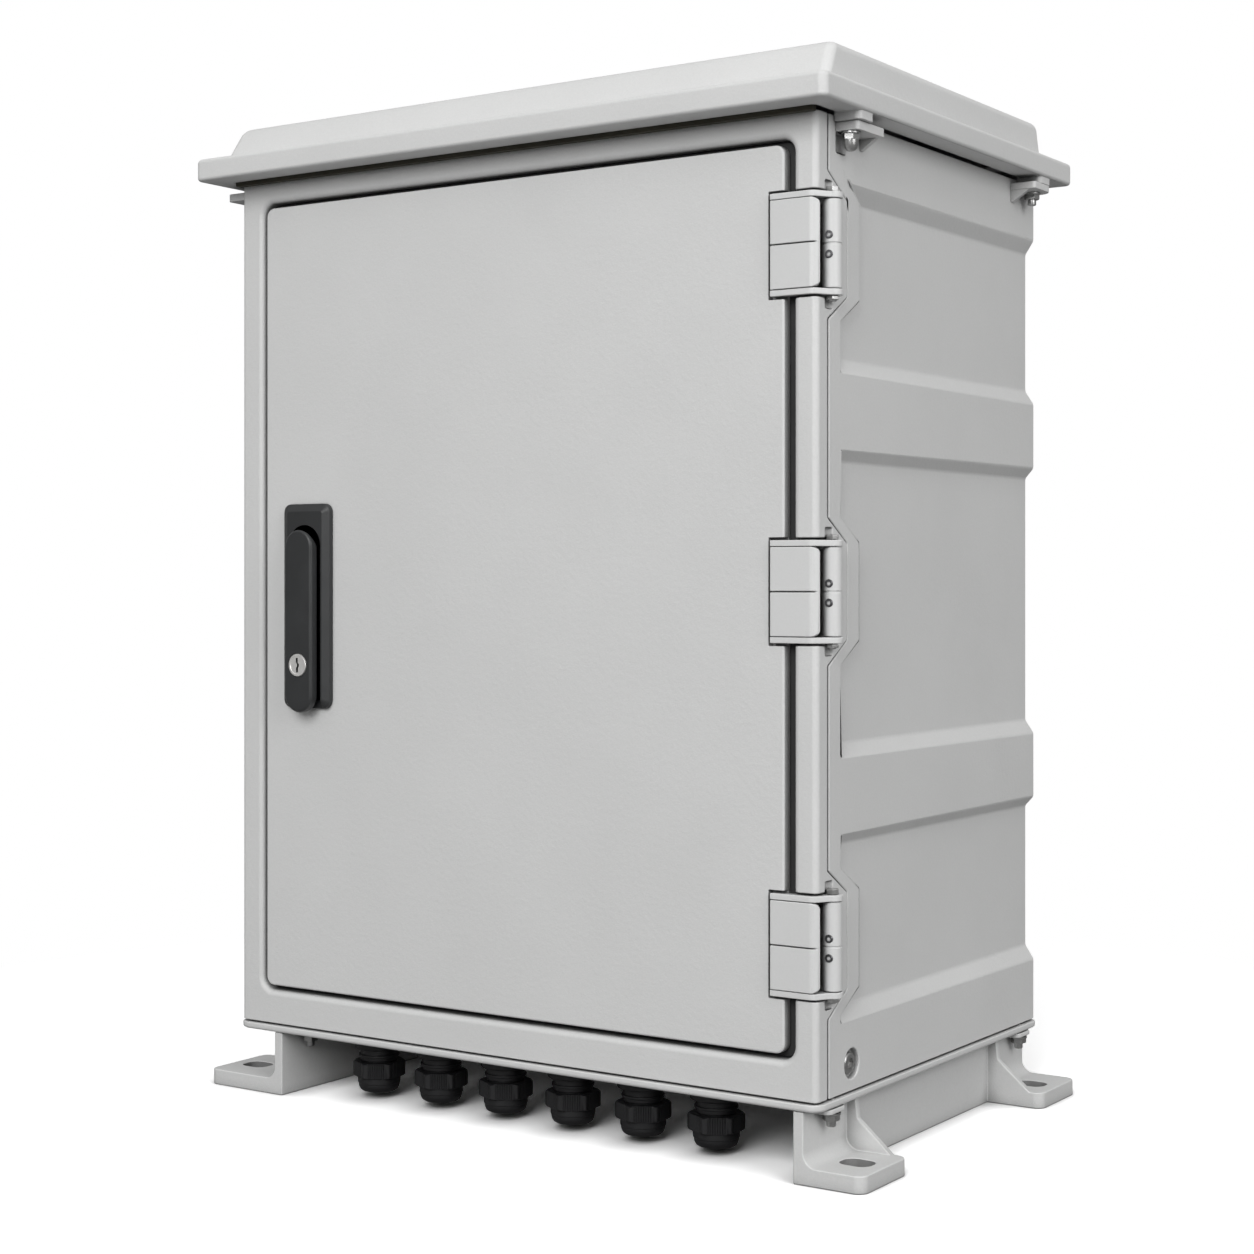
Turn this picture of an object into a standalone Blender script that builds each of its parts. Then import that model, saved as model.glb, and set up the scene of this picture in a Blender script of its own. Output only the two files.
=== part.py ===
"""Outdoor moulded cable enclosure: hinged door, swing handle, rain canopy, cable glands, foot rails.

Frame: +Z up, the door faces -Y, origin on the ground below the middle of the canopy.  Metres.
"""
from math import cos, pi, radians, sin, tan

import bmesh
import bpy
from mathutils import Matrix, Vector

MM = 0.001
GAP = 0.3                       # clearance between neighbouring pieces, mm

# ---- driving dimensions, millimetres -------------------------------------------------
HALF_W = 300.0                  # half width of the body
FRONT = -200.0                  # front face of door and frame
REAR = 206.0                    # back face of the housing
SEAM = 64.0                     # underside of the housing above the ground
TOP = 825.5                     # top of housing and frame
FRAME_DEPTH = 16.7              # front frame, front to back
RECESS = 8.0                    # side panels set back from the raised bands
WALL = 13.0                     # side wall measured at a raised band
BACK_WALL = 6.0
FLOOR_WALL = 6.0

# raised bands on the sides: foot of slope, edge, edge, foot of slope
BANDS = ((None, None, 119.0, 131.0), (258.5, 267.0, 325.5, 337.0),
         (558.0, 567.0, 626.0, 638.0), (763.0, 775.0, None, None))
FRAME_ROLL = 5.0                # roll on the upright corners of the frame
LIP_BACK = -162.0               # back edge of the raised lip behind the front frame

OPEN_X = (-274.0, 279.0)        # door aperture in the frame
OPEN_Z = (94.0, 806.0)
RETURN_X = (-258.0, 261.0)      # clear opening inside the gasket return
RETURN_Z = (110.0, 790.0)
DOOR_X = (-269.5, 271.0)
DOOR_Z = (98.5, 801.5)
DOOR_DEPTH = 10.0
DOOR_SKIN = 3.5

RIM_T = 7.4                     # base plate thickness
RIM_OUT = 3.0                   # base plate stands out past the sides
RIM_BACK = 212.0

HINGE_Z = (183.0, 456.0, 724.0)
PIN_X, PIN_Y = 303.0, -181.0
BARREL_R = 7.6
BARREL_H = 34.6                 # half height of the barrel
ARM_T = 4.8                     # thickness of the hinge arms
PIN_R = 3.1

HANDLE_X = -216.7
DISH_W, DISH_Z = 54.0, (351.0, 533.0)
DISH_FRONT = -208.0
LEVER_W, LEVER_Z = 31.0, (347.5, 510.0)
LEVER_FRONT, LEVER_BACK = -217.0, -208.4
SPINDLE_Z = 494.5
TILT_Y = -212.0                 # lever tilt axis
KEY_Z = 389.5
ROD_OFFSET = 13.5
ROD_Y = (-182.0, -177.0)

GLAND_PITCH = 71.5
GLAND_Y = -150.0

CANOPY_X, CANOPY_Y = 326.0, 234.0
FLANGE_Z = (827.0, 847.0)
ROOF_Z = 880.0
ROOF_SKIN = 3.0

FOOT_OUT = 340.0                # outer end of the foot ears
EAR_T = 14.0
RAIL_X = (279.0, 288.0)
FRONT_EAR = (-200.5, -125.0)
REAR_EAR = (132.0, 208.0)
LEFT_RAIL_X = (250.5, 259.5)    # the left rail stands further in
FOOT_BOLT_X = {1.0: 296.5, -1.0: 242.5}
FOOT_BOLT_Y = (-171.0, 180.0)
CANOPY_BOLT = ((309.0, -162.0), (310.0, 179.0))
BRACKET_Z = ((813.0, 820.0), (814.5, 820.5))
SIDE_SCREW = (-143.6, 85.3)     # y, z of the recessed screw in each side


# ---- small modelling kit -------------------------------------------------------------
def clear_scene():
    for obj in list(bpy.data.objects):
        bpy.data.objects.remove(obj, do_unlink=True)


def material(name, colour, roughness, metallic=0.0):
    mat = bpy.data.materials.new(name)
    mat.use_nodes = True
    shader = mat.node_tree.nodes["Principled BSDF"]
    shader.inputs["Base Color"].default_value = (*colour, 1.0)
    shader.inputs["Roughness"].default_value = roughness
    shader.inputs["Metallic"].default_value = metallic
    return mat


def finish(bm, name="tmp"):
    bmesh.ops.recalc_face_normals(bm, faces=bm.faces)
    mesh = bpy.data.meshes.new(name)
    bm.to_mesh(mesh)
    bm.free()
    obj = bpy.data.objects.new(name, mesh)
    bpy.context.collection.objects.link(obj)
    return obj


def place(axis, u, v, w):
    """Point from two outline coordinates and the extrusion coordinate."""
    if axis == "X":
        return Vector((w, u, v)) * MM
    if axis == "Y":
        return Vector((u, w, v)) * MM
    return Vector((u, v, w)) * MM


def loft(axis, sections):
    """Solid through outlines with equal point counts, given as (outline, level)."""
    bm = bmesh.new()
    rings = [[bm.verts.new(place(axis, u, v, level)) for u, v in outline]
             for outline, level in sections]
    bm.faces.new(rings[0])
    bm.faces.new(rings[-1])
    count = len(rings[0])
    for lower, upper in zip(rings, rings[1:]):
        for i in range(count):
            j = (i + 1) % count
            bm.faces.new((lower[i], lower[j], upper[j], upper[i]))
    return finish(bm)


def prism(outline, axis, low, high):
    return loft(axis, ((outline, low), (outline, high)))


def box(x, y, z):
    return prism(((x[0], y[0]), (x[1], y[0]), (x[1], y[1]), (x[0], y[1])), "Z", z[0], z[1])


def round_rect(u, v, radius, steps=4):
    """Rectangle outline with rounded corners; radius may be one value or four."""
    radii = radius if isinstance(radius, tuple) else (radius,) * 4
    corners = ((u[0], v[0], 180.0), (u[1], v[0], 270.0), (u[1], v[1], 0.0), (u[0], v[1], 90.0))
    points = []
    for (cu, cv, start), r in zip(corners, radii):
        if r <= 0.0:
            points.append((cu, cv))
            continue
        mu = cu + (r if cu == u[0] else -r)
        mv = cv + (r if cv == v[0] else -r)
        for k in range(steps + 1):
            a = radians(start + 90.0 * k / steps)
            points.append((mu + r * cos(a), mv + r * sin(a)))
    return points


def circle(cu, cv, radius, steps=24, turn=0.0):
    return [(cu + radius * cos(2 * pi * (k + turn) / steps),
             cv + radius * sin(2 * pi * (k + turn) / steps)) for k in range(steps)]


def cylinder(cu, cv, radius, axis, low, high, steps=24, turn=0.0):
    return prism(circle(cu, cv, radius, steps, turn), axis, low, high)


def turned(cx, cy, profile, steps=24):
    """Solid of revolution about a vertical line; profile runs as (radius, height)."""
    bm = bmesh.new()
    rings = []
    for radius, height in profile:
        if radius <= 0.0:
            rings.append([bm.verts.new(Vector((cx, cy, height)) * MM)])
            continue
        rings.append([bm.verts.new(place("Z", u, v, height))
                      for u, v in circle(cx, cy, radius, steps)])
    for lower, upper in zip(rings, rings[1:]):
        for i in range(steps):
            j = (i + 1) % steps
            if len(lower) == 1:
                bm.faces.new((lower[0], upper[i], upper[j]))
            elif len(upper) == 1:
                bm.faces.new((lower[i], lower[j], upper[0]))
            else:
                bm.faces.new((lower[i], lower[j], upper[j], upper[i]))
    for ring in (rings[0], rings[-1]):
        if len(ring) > 1:
            bm.faces.new(ring)
    return finish(bm)


def combine(target, tools, operation):
    for tool in tools:
        mod = target.modifiers.new("shape", "BOOLEAN")
        mod.operation = operation
        mod.solver = "EXACT"
        mod.object = tool
        graph = bpy.context.evaluated_depsgraph_get()
        mesh = bpy.data.meshes.new_from_object(target.evaluated_get(graph))
        target.modifiers.clear()
        target.data = mesh
        bpy.data.objects.remove(tool, do_unlink=True)
    return target


def join(target, *tools):
    return combine(target, tools, "UNION")


def cut(target, *tools):
    return combine(target, tools, "DIFFERENCE")


def mirrored(obj):
    """Copy of a finished shape on the other side of x = 0."""
    bm = bmesh.new()
    bm.from_mesh(obj.data)
    bmesh.ops.transform(bm, matrix=Matrix.Scale(-1.0, 4, (1, 0, 0)), verts=bm.verts)
    bmesh.ops.reverse_faces(bm, faces=bm.faces)
    return finish(bm)


def node(obj, name, mat, parent=None):
    """Name a finished shape, give it its material, put its origin on its parent's axis."""
    obj.name = name
    obj.data.name = name
    obj.data.materials.clear()
    obj.data.materials.append(mat)
    bm = bmesh.new()
    bm.from_mesh(obj.data)
    if parent is not None:
        origin = parent.matrix_world.translation.copy()
        bmesh.ops.translate(bm, vec=-origin, verts=bm.verts)
    bmesh.ops.dissolve_degenerate(bm, dist=1e-6, edges=bm.edges)
    bm.to_mesh(obj.data)
    bm.free()
    obj.parent = parent
    obj.data.shade_smooth()
    obj.data.set_sharp_from_angle(angle=radians(35.0))
    return obj


def pivot(name, x, y, z, parent=None):
    empty = bpy.data.objects.new(name, None)
    empty.empty_display_size = 0.03
    bpy.context.collection.objects.link(empty)
    here = Vector((x, y, z)) * MM
    if parent is not None:
        empty.parent = parent
        here -= parent.matrix_world.translation
    empty.location = here
    bpy.context.view_layer.update()
    return empty


# ---- cabinet -------------------------------------------------------------------------
def side_profile():
    """Right-hand edge of the housing seen from the front, bottom to top."""
    inner = HALF_W - RECESS
    points = []
    for foot_low, edge_low, edge_high, foot_high in BANDS:
        if foot_low is None:
            points.append((HALF_W, SEAM))
        else:
            points += [(inner, foot_low), (HALF_W, edge_low)]
        if foot_high is None:
            points.append((HALF_W, TOP))
        else:
            points += [(HALF_W, edge_high), (inner, foot_high)]
    return points


def hinge_outline(centre, near, far, half_near, half_far):
    """Trapezium on the side of the cabinet behind a hinge."""
    return ((near, centre - half_near), (far, centre - half_far),
            (far, centre + half_far), (near, centre + half_near))


def build_housing(mat):
    right = side_profile()
    outline = right + [(-x, z) for x, z in reversed(right)]
    shell = prism(outline, "Y", LIP_BACK - 1.0, REAR)
    lip = prism(round_rect((-HALF_W, HALF_W), (SEAM, TOP), 2.0, 1), "Y",
                FRONT + FRAME_DEPTH + GAP, LIP_BACK)
    join(shell, lip)
    inner = HALF_W - WALL
    for centre in HINGE_Z:
        join(shell, prism(hinge_outline(centre, LIP_BACK - 4.0, -130.0, 60.0, 40.0), "X",
                          inner + 1.0, HALF_W))
    cut(shell, prism(round_rect((-inner, inner), (SEAM + FLOOR_WALL, TOP - 6.0), 8.0, 2), "Y",
                     FRONT, REAR - BACK_WALL))
    for centre in HINGE_Z:
        notch = hinge_outline(centre, FRONT + FRAME_DEPTH - 1.0, FRONT + 49.0, 59.6, 38.0)
        cut(shell, prism(notch, "X", inner - 12.0, HALF_W + 5.0))
    # cable entry in the floor, and the four bosses for the mounting plate
    cut(shell, prism(round_rect((-225.0, 225.0), (GLAND_Y - 31.0, GLAND_Y + 45.0), 12.0), "Z",
                     SEAM - 5.0, SEAM + 15.0))
    for x in (-215.0, 215.0):
        for z in (125.0, 755.0):
            join(shell, cylinder(x, z, 11.0, "Y", 173.3, REAR - BACK_WALL + 2.0, 16))
            cut(shell, cylinder(x, z, 3.4, "Y", 172.0, 198.0, 12))
    for side in (-1.0, 1.0):
        # scallop in the upper band beside the nut of the front canopy fixing
        x, y = CANOPY_BOLT[0]
        cut(shell, cylinder(side * x, y, 12.0, "Z", 797.0, 812.7, 32))
        # recessed side screw
        y, z = SIDE_SCREW
        low, high = sorted((side * 294.0, side * 303.0))
        cut(shell, cylinder(y, z, 12.0, "X", low, high, 24))
        low, high = sorted((side * 289.0, side * 295.0))
        cut(shell, cylinder(y, z, 3.4, "X", low, high, 12))
    node(shell, "housing", mat)


def build_canopy_brackets(mat):
    """Webbed ears on each side that carry the four canopy fixings."""
    root = HALF_W + GAP
    for tag, side in (("left", -1.0), ("right", 1.0)):
        # the front ear on the left reaches forward to the face of the frame
        plans = (((-197.0 if side < 0.0 else -170.5), -126.0, 320.0, (0.0, 3.0, 3.0, 0.0), -130.5),
                 (154.0, 194.0, 324.0, (0.0, 3.0, 12.0, 0.0), 154.0))
        for spot, plan, (x, y), (low, high) in zip(("front", "rear"), plans, CANOPY_BOLT, BRACKET_Z):
            near, far, reach, corners, web_y = plan
            ear = prism([(side * u, v) for u, v in
                         round_rect((root, reach), (near, far), corners)], "Z", low, high)
            web = prism([(side * u, v) for u, v in ((root, 803.5), (root + 1.0, 803.5),
                                                    (reach - 1.0, low - 0.5),
                                                    (reach - 1.0, high - 1.0),
                                                    (root, high - 1.0))],
                        "Y", web_y, web_y + 4.5)
            join(ear, web)
            cut(ear, cylinder(side * x, y, 4.4, "Z", low - 2.0, high + 2.0, 16))
            node(ear, "canopy_bracket_" + spot + "_" + tag, mat)


def build_frame(mat):
    back = FRONT + FRAME_DEPTH
    ring = prism(round_rect((-HALF_W, HALF_W), (SEAM, TOP), 2.0, 1), "Y", FRONT, back)
    r = FRAME_ROLL
    for side in (-1.0, 1.0):
        corner = [(side * (HALF_W + 2.0), FRONT - 2.0), (side * (HALF_W + 2.0), FRONT + r)]
        corner += [(side * (HALF_W - r + r * cos(radians(a))),
                    FRONT + r - r * sin(radians(a))) for a in range(0, 91, 18)]
        corner.append((side * (HALF_W - r), FRONT - 2.0))
        cut(ring, prism(corner, "Z", SEAM - 5.0, TOP + 5.0))
    inner = prism(round_rect((-283.0, 283.0), (SEAM + 9.0, TOP - 9.0), 8.0, 2), "Y",
                  back - 1.5, -178.0)
    join(ring, inner)
    for centre in HINGE_Z:
        block = hinge_outline(centre, back - 2.0, FRONT + 48.7, 58.8, 37.7)
        join(ring, prism(block, "X", OPEN_X[1] - 3.0, HALF_W))
    cut(ring, prism(round_rect(RETURN_X, RETURN_Z, 6.0, 2), "Y", FRONT - 5.0, -170.0),
        prism(round_rect(OPEN_X, OPEN_Z, 11.0), "Y", FRONT - 5.0, -185.0))
    for centre in HINGE_Z:
        high = (centre - 41.5, centre + 41.5)
        cut(ring, box((289.0, HALF_W + 5.0), (FRONT - 5.0, FRONT + 31.0), high),
            box((OPEN_X[1] - 4.0, 292.0), (FRONT - 5.0, -190.0), high),
            cylinder(PIN_X, PIN_Y, 6.8, "Z", centre - 49.5, centre + 49.5, 20))
    node(ring, "door_frame", mat)


def build_base_plate(mat):
    outer = round_rect((-HALF_W - RIM_OUT, HALF_W + RIM_OUT), (FRONT - RIM_OUT, RIM_BACK), 13.0, 5)
    plate = prism(outer, "Z", SEAM - RIM_T, SEAM - GAP)
    for k in range(6):
        cut(plate, cylinder((k - 2.5) * GLAND_PITCH, GLAND_Y, 16.8, "Z", 40.0, 80.0, 16))
    for side in (-1.0, 1.0):
        for y in FOOT_BOLT_Y:
            cut(plate, cylinder(side * FOOT_BOLT_X[side], y, 4.2, "Z", 40.0, 80.0, 16))
    node(plate, "base_plate", mat)


def foot_section(wall):
    """Wall and ear of a foot seen from the front, with the hollow roll between them."""
    top = SEAM - RIM_T - GAP
    points = [(wall[0], 0.0), (FOOT_OUT - 2.0, 0.0), (FOOT_OUT, 2.0), (FOOT_OUT, EAR_T - 2.0),
              (FOOT_OUT - 2.0, EAR_T)]
    radius = 11.0
    cu, cv = wall[1] + radius, EAR_T + radius
    points += [(cu + radius * cos(radians(a)), cv + radius * sin(radians(a)))
               for a in range(270, 179, -15)]
    points += [(wall[1], top), (wall[0], top)]
    return points


def foot_rail(wall, bolt_x):
    """One rail standing on the +X side, with its bolt pads beside the wall."""
    top = SEAM - RIM_T - GAP
    rail = box(wall, (FRONT_EAR[0], REAR_EAR[1]), (0.0, top))
    for ear, gusset in ((FRONT_EAR, FRONT_EAR[1] - 6.0), (REAR_EAR, REAR_EAR[0])):
        join(rail, prism(foot_section(wall), "Y", ear[0], ear[1]))
        web = ((wall[1] - 1.0, 5.0), (FOOT_OUT - 6.0, 5.0), (FOOT_OUT - 12.0, EAR_T),
               (wall[1] + 10.0, 39.0), (wall[1] + 8.0, top), (wall[1] - 1.0, top))
        join(rail, prism(web, "Y", gusset, gusset + 6.0))
        # corners of the ear in plan
        for y, sign in ((ear[0], 1.0), (ear[1], -1.0)):
            corner = [(FOOT_OUT + 1.0, y - sign), (FOOT_OUT + 1.0, y + sign * 9.0)]
            corner += [(FOOT_OUT - 9.0 + 9.0 * cos(radians(a)),
                        y + sign * (9.0 - 9.0 * sin(radians(a)))) for a in range(0, 91, 18)]
            corner.append((FOOT_OUT - 9.0, y - sign))
            cut(rail, prism(corner, "Z", -5.0, EAR_T + 5.0))
        middle = (ear[0] + ear[1]) / 2.0 + (3.0 if gusset > ear[0] + 10.0 else -1.0) - 3.0
        slot = round_rect((305.0, 325.0), (middle - 7.0, middle + 7.0), 6.9)
        dish = round_rect((300.5, 329.5), (middle - 11.5, middle + 11.5), 8.0)
        cut(rail, prism(slot, "Z", -5.0, 30.0), prism(dish, "Z", EAR_T - 2.5, 30.0))
    for y in FOOT_BOLT_Y:
        if bolt_x > wall[1]:
            pad = round_rect((wall[1] - 2.0, bolt_x + 6.5), (y - 14.0, y + 14.0), (0.0, 6.0, 6.0, 0.0))
        else:
            pad = round_rect((bolt_x - 10.0, wall[0] + 2.0), (y - 14.0, y + 14.0), (6.0, 0.0, 0.0, 6.0))
        join(rail, prism(pad, "Z", top - 4.0, top))
        cut(rail, cylinder(bolt_x, y, 4.2, "Z", top - 8.0, top + 3.0, 16))
    return rail


def build_foot_rails(mat):
    node(foot_rail(RAIL_X, FOOT_BOLT_X[1.0]), "foot_rail_right", mat)
    inner = foot_rail(LEFT_RAIL_X, FOOT_BOLT_X[-1.0])
    node(mirrored(inner), "foot_rail_left", mat)
    bpy.data.objects.remove(inner, do_unlink=True)


def roof_outline(offset, z):
    """Raised part of the canopy: sloping front, nearly upright sides, upright back."""
    rise = z - FLANGE_Z[1]
    half = 313.5 - 0.12 * rise - offset
    return round_rect((-half, half), (-210.0 + 0.6 * rise + offset, 194.0 - offset),
                      8.0 - min(offset, 3.0))


def build_canopy(mat):
    rim = []
    for inset, z in ((1.6, FLANGE_Z[0]), (0.0, FLANGE_Z[0] + 2.2),
                     (0.0, FLANGE_Z[1] - 3.4), (2.4, FLANGE_Z[1])):
        x, y = CANOPY_X - inset, CANOPY_Y - inset
        rim.append((round_rect((-x, x), (-y, y), 7.0 - inset), z))
    shell = loft("Z", rim)
    # the roof edge is rolled in two facets
    levels = ((0.0, FLANGE_Z[1] - 2.0), (0.0, ROOF_Z - 7.5), (1.0, ROOF_Z - 4.2),
              (3.0, ROOF_Z - 1.4), (7.5, ROOF_Z))
    join(shell, loft("Z", [(roof_outline(inset, z), z) for inset, z in levels]))
    skin = ROOF_SKIN
    cut(shell, prism(round_rect((-CANOPY_X + skin, CANOPY_X - skin),
                                (-CANOPY_Y + skin, CANOPY_Y - skin), 4.0), "Z",
                     FLANGE_Z[0] + skin, FLANGE_Z[1] - skin))
    levels = (FLANGE_Z[1] - skin - 1.0, ROOF_Z - 3.5)
    cut(shell, loft("Z", [(roof_outline(skin + 0.5, z), z) for z in levels]))
    cut(shell, prism(round_rect((-303.0, 303.0), (-209.0, 213.0), 4.0, 3), "Z",
                     FLANGE_Z[0] - 5.0, FLANGE_Z[0] + skin + 1.0))
    for side in (-1.0, 1.0):
        for (x, y), (low, high) in zip(CANOPY_BOLT, BRACKET_Z):
            pad = prism([(side * u, v) for u, v in round_rect(
                (HALF_W + 0.6, CANOPY_X - 2.5), (y - 12.0, y + 12.0), (0.0, 5.0, 5.0, 0.0))],
                "Z", high + GAP, FLANGE_Z[0] + skin + 0.5)
            join(shell, pad)
            cut(shell, cylinder(side * x, y, 4.4, "Z", high - 3.0, FLANGE_Z[0] + 8.0, 16))
    node(shell, "canopy", mat)


def hex_bolt(x, y, head_z, nut_z, low, high, dome=False):
    """Vertical bolt: nut below, head above."""
    bolt = cylinder(x, y, 3.8, "Z", low, high, 10)
    join(bolt, cylinder(x, y, 6.9, "Z", nut_z - 6.0, nut_z - 1.4, 6),
         cylinder(x, y, 7.6, "Z", nut_z - 1.6, nut_z, 12))
    if head_z is not None:
        join(bolt, cylinder(x, y, 7.2, "Z", head_z, head_z + 5.0, 6))
    if dome:
        join(bolt, turned(x, y, ((1.6, nut_z - 15.0), (4.6, nut_z - 13.2), (5.9, nut_z - 9.5),
                                 (5.9, nut_z - 5.5)), 12))
    return bolt


def build_fixings(steel):
    for tag, side in (("left", -1.0), ("right", 1.0)):
        for spot, y in zip(("front", "rear"), FOOT_BOLT_Y):
            face = SEAM - RIM_T - GAP - 4.0 - GAP
            bolt = hex_bolt(side * FOOT_BOLT_X[side], y, None, face, face - 11.0, SEAM - 0.6)
            node(bolt, "foot_bolt_" + spot + "_" + tag, steel)
        for spot, (x, y), (low, high) in zip(("front", "rear"), CANOPY_BOLT, BRACKET_Z):
            under = low - GAP
            head = FLANGE_Z[0] + ROOF_SKIN + 0.5 + GAP
            end = under - (10.0 if spot == "front" else 11.2)
            bolt = hex_bolt(side * x, y, head, under, end, head + 2.0, dome=spot == "front")
            node(bolt, "canopy_bolt_" + spot + "_" + tag, steel)
        y, z = SIDE_SCREW
        low, high = sorted((side * 294.3, side * 298.8))
        screw = cylinder(y, z, 9.0, "X", low, high, 24)
        low, high = sorted((side * 290.0, side * 295.0))
        join(screw, cylinder(y, z, 3.0, "X", low, high, 12))
        low, high = sorted((side * 296.0, side * 300.0))
        cut(screw, cylinder(y, z, 4.6, "X", low, high, 6))
        node(screw, "side_screw_" + tag, steel)


def build_glands(mat):
    for k in range(6):
        x = (k - 2.5) * GLAND_PITCH
        tube = turned(x, GLAND_Y, ((15.0, 24.0), (15.0, 33.0), (16.8, 33.6), (16.8, 43.6),
                                   (21.8, 44.2), (21.8, 56.3), (16.0, 56.3), (16.0, 82.0)), 16)
        cut(tube, cylinder(x, GLAND_Y, 11.0, "Z", 28.0, 90.0, 10))
        node(tube, "gland_%d_body" % (k + 1), mat)
        nut = cylinder(x, GLAND_Y, 24.0, "Z", 18.5, 32.4, 6, 0.55)
        join(nut, turned(x, GLAND_Y, ((13.0, 5.5), (17.0, 6.9), (18.8, 10.6), (19.2, 19.0)), 16))
        cut(nut, cylinder(x, GLAND_Y, 15.7, "Z", 23.6, 40.0, 16),
            cylinder(x, GLAND_Y, 11.0, "Z", 0.0, 16.0, 10))
        node(nut, "gland_%d_nut" % (k + 1), mat)


def build_interior(steel, brass, plastic, rubber):
    gasket = prism(round_rect((OPEN_X[0] + 0.5, OPEN_X[1] - 0.5), (OPEN_Z[0] + 0.5, OPEN_Z[1] - 0.5),
                              10.5), "Y", -189.7, -185.3)
    cut(gasket, prism(round_rect((-259.0, 262.0), (109.0, 791.0), 6.0, 2), "Y", -195.0, -180.0))
    node(gasket, "door_gasket", rubber)
    plate = prism(round_rect((-240.0, 240.0), (100.0, 780.0), 6.0, 2), "Y", 170.0, 173.0)
    for x in (-215.0, 215.0):
        for z in (125.0, 755.0):
            cut(plate, cylinder(x, z, 3.4, "Y", 165.0, 180.0, 12))
    node(plate, "mounting_plate", steel)
    hat = ((162.2, 542.5), (163.4, 542.5), (163.4, 549.0), (169.7, 549.0), (169.7, 571.0),
           (163.4, 571.0), (163.4, 577.5), (162.2, 577.5), (162.2, 569.8), (168.5, 569.8),
           (168.5, 550.2), (162.2, 550.2))
    node(prism(hat, "X", -200.0, 200.0), "din_rail", steel)
    strip = box((-150.0, 150.0), (112.0, 161.9), (537.0, 583.0))
    for k in range(10):
        x = -130.5 + k * 29.0
        cut(strip, box((x - 6.0, x + 6.0), (105.0, 124.0), (550.0, 570.0)))
    node(strip, "terminal_strip", plastic)
    bar = box((-120.0, 120.0), (140.0, 146.0), (152.0, 172.0))
    for x in (-105.0, 105.0):
        join(bar, box((x - 8.0, x + 8.0), (145.0, 169.7), (154.0, 170.0)))
    for k in range(6):
        cut(bar, cylinder(-75.0 + 30.0 * k, 162.0, 3.2, "Y", 135.0, 150.0, 8))
    node(bar, "earth_bar", brass)


# ---- hinges --------------------------------------------------------------------------
def build_hinge_fixed(number, centre, grey, steel):
    barrel = cylinder(PIN_X, PIN_Y, BARREL_R, "Z", centre - BARREL_H, centre + BARREL_H, 20)
    join(barrel, box((289.3, 300.0), (-179.0, -174.5), (centre - 32.0, centre + 32.0)),
         box((289.3, 292.3), (-185.5, -170.0), (centre - 32.0, centre + 32.0)))
    ring = cylinder(PIN_X, PIN_Y, BARREL_R + 2.0, "Z", centre - 0.5, centre + 0.5, 20)
    cut(ring, cylinder(PIN_X, PIN_Y, BARREL_R - 0.5, "Z", centre - 2.0, centre + 2.0, 20))
    cut(barrel, ring, cylinder(PIN_X, PIN_Y, PIN_R + 0.5, "Z", centre - 50.0, centre + 50.0, 12))
    node(barrel, "hinge_%d_frame_leaf" % number, grey)
    end = BARREL_H + 0.4 + ARM_T + 0.4
    pin = cylinder(PIN_X, PIN_Y, PIN_R, "Z", centre - end - 4.0, centre + end + 4.0, 12)
    join(pin, cylinder(PIN_X, PIN_Y, 5.4, "Z", centre + end, centre + end + 4.0, 6),
         cylinder(PIN_X, PIN_Y, 5.4, "Z", centre - end - 3.0, centre - end, 6))
    node(pin, "hinge_%d_pin" % number, steel)


def build_hinge_door(number, centre, grey, door):
    arm = [(259.5, -202.4), (293.0, -202.4), (299.0, -200.4), (305.5, -189.2)]
    arm += [(PIN_X + 8.4 * cos(radians(a)), PIN_Y + 8.4 * sin(radians(a)))
            for a in range(-60, 181, 30)]
    arm += [(293.4, -187.0), (290.0, -191.0), (286.0, -193.3), (259.5, -193.3)]
    low = BARREL_H + 0.4
    leaf = prism(arm, "Z", centre + low, centre + low + ARM_T)
    join(leaf, box((259.5, 287.0), (-196.5, -193.3), (centre - low - 2.0, centre + low + 2.0)),
         prism(arm, "Z", centre - low - ARM_T, centre - low))
    cut(leaf, cylinder(PIN_X, PIN_Y, PIN_R + 0.5, "Z", centre - 60.0, centre + 60.0, 12))
    node(leaf, "hinge_%d_door_leaf" % number, grey, door)
    pad = [(260.0, -196.8), (260.0, -202.0), (261.0, -203.0), (294.0, -203.0)]
    pad += [(294.0 + 8.0 * sin(radians(a)), -195.0 - 8.0 * cos(radians(a)))
            for a in (20, 40, 60, 77)]
    cover = prism(pad, "Z", centre - BARREL_H + 0.1, centre + BARREL_H - 0.1)
    cut(cover, box((250.0, 310.0), (-210.0, -200.0), (centre - 0.5, centre + 0.5)))
    node(cover, "hinge_%d_cover" % number, grey, door)


# ---- door ----------------------------------------------------------------------------
def build_door(mat, door):
    back = FRONT + DOOR_DEPTH
    panel = prism(round_rect(DOOR_X, DOOR_Z, 8.0), "Y", FRONT, back)
    tray = prism(round_rect((DOOR_X[0] + 16.0, DOOR_X[1] - 18.0),
                            (DOOR_Z[0] + 16.0, DOOR_Z[1] - 16.0), 5.0, 2), "Y",
                 FRONT + DOOR_SKIN, back + 5.0)
    cut(panel, tray)
    for centre in HINGE_Z:
        cut(panel, box((257.0, 275.0), (FRONT - 2.0, -193.0), (centre - 42.0, centre + 42.0)))
    cut(panel, cylinder(HANDLE_X, SPINDLE_Z, 8.0, "Y", FRONT - 5.0, back, 24))
    rim = panel.modifiers.new("rim", "BEVEL")
    rim.width = 2.4 * MM
    rim.segments = 1
    rim.limit_method = "ANGLE"
    rim.angle_limit = radians(80.0)
    node(panel, "door_panel", mat, door)


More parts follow.
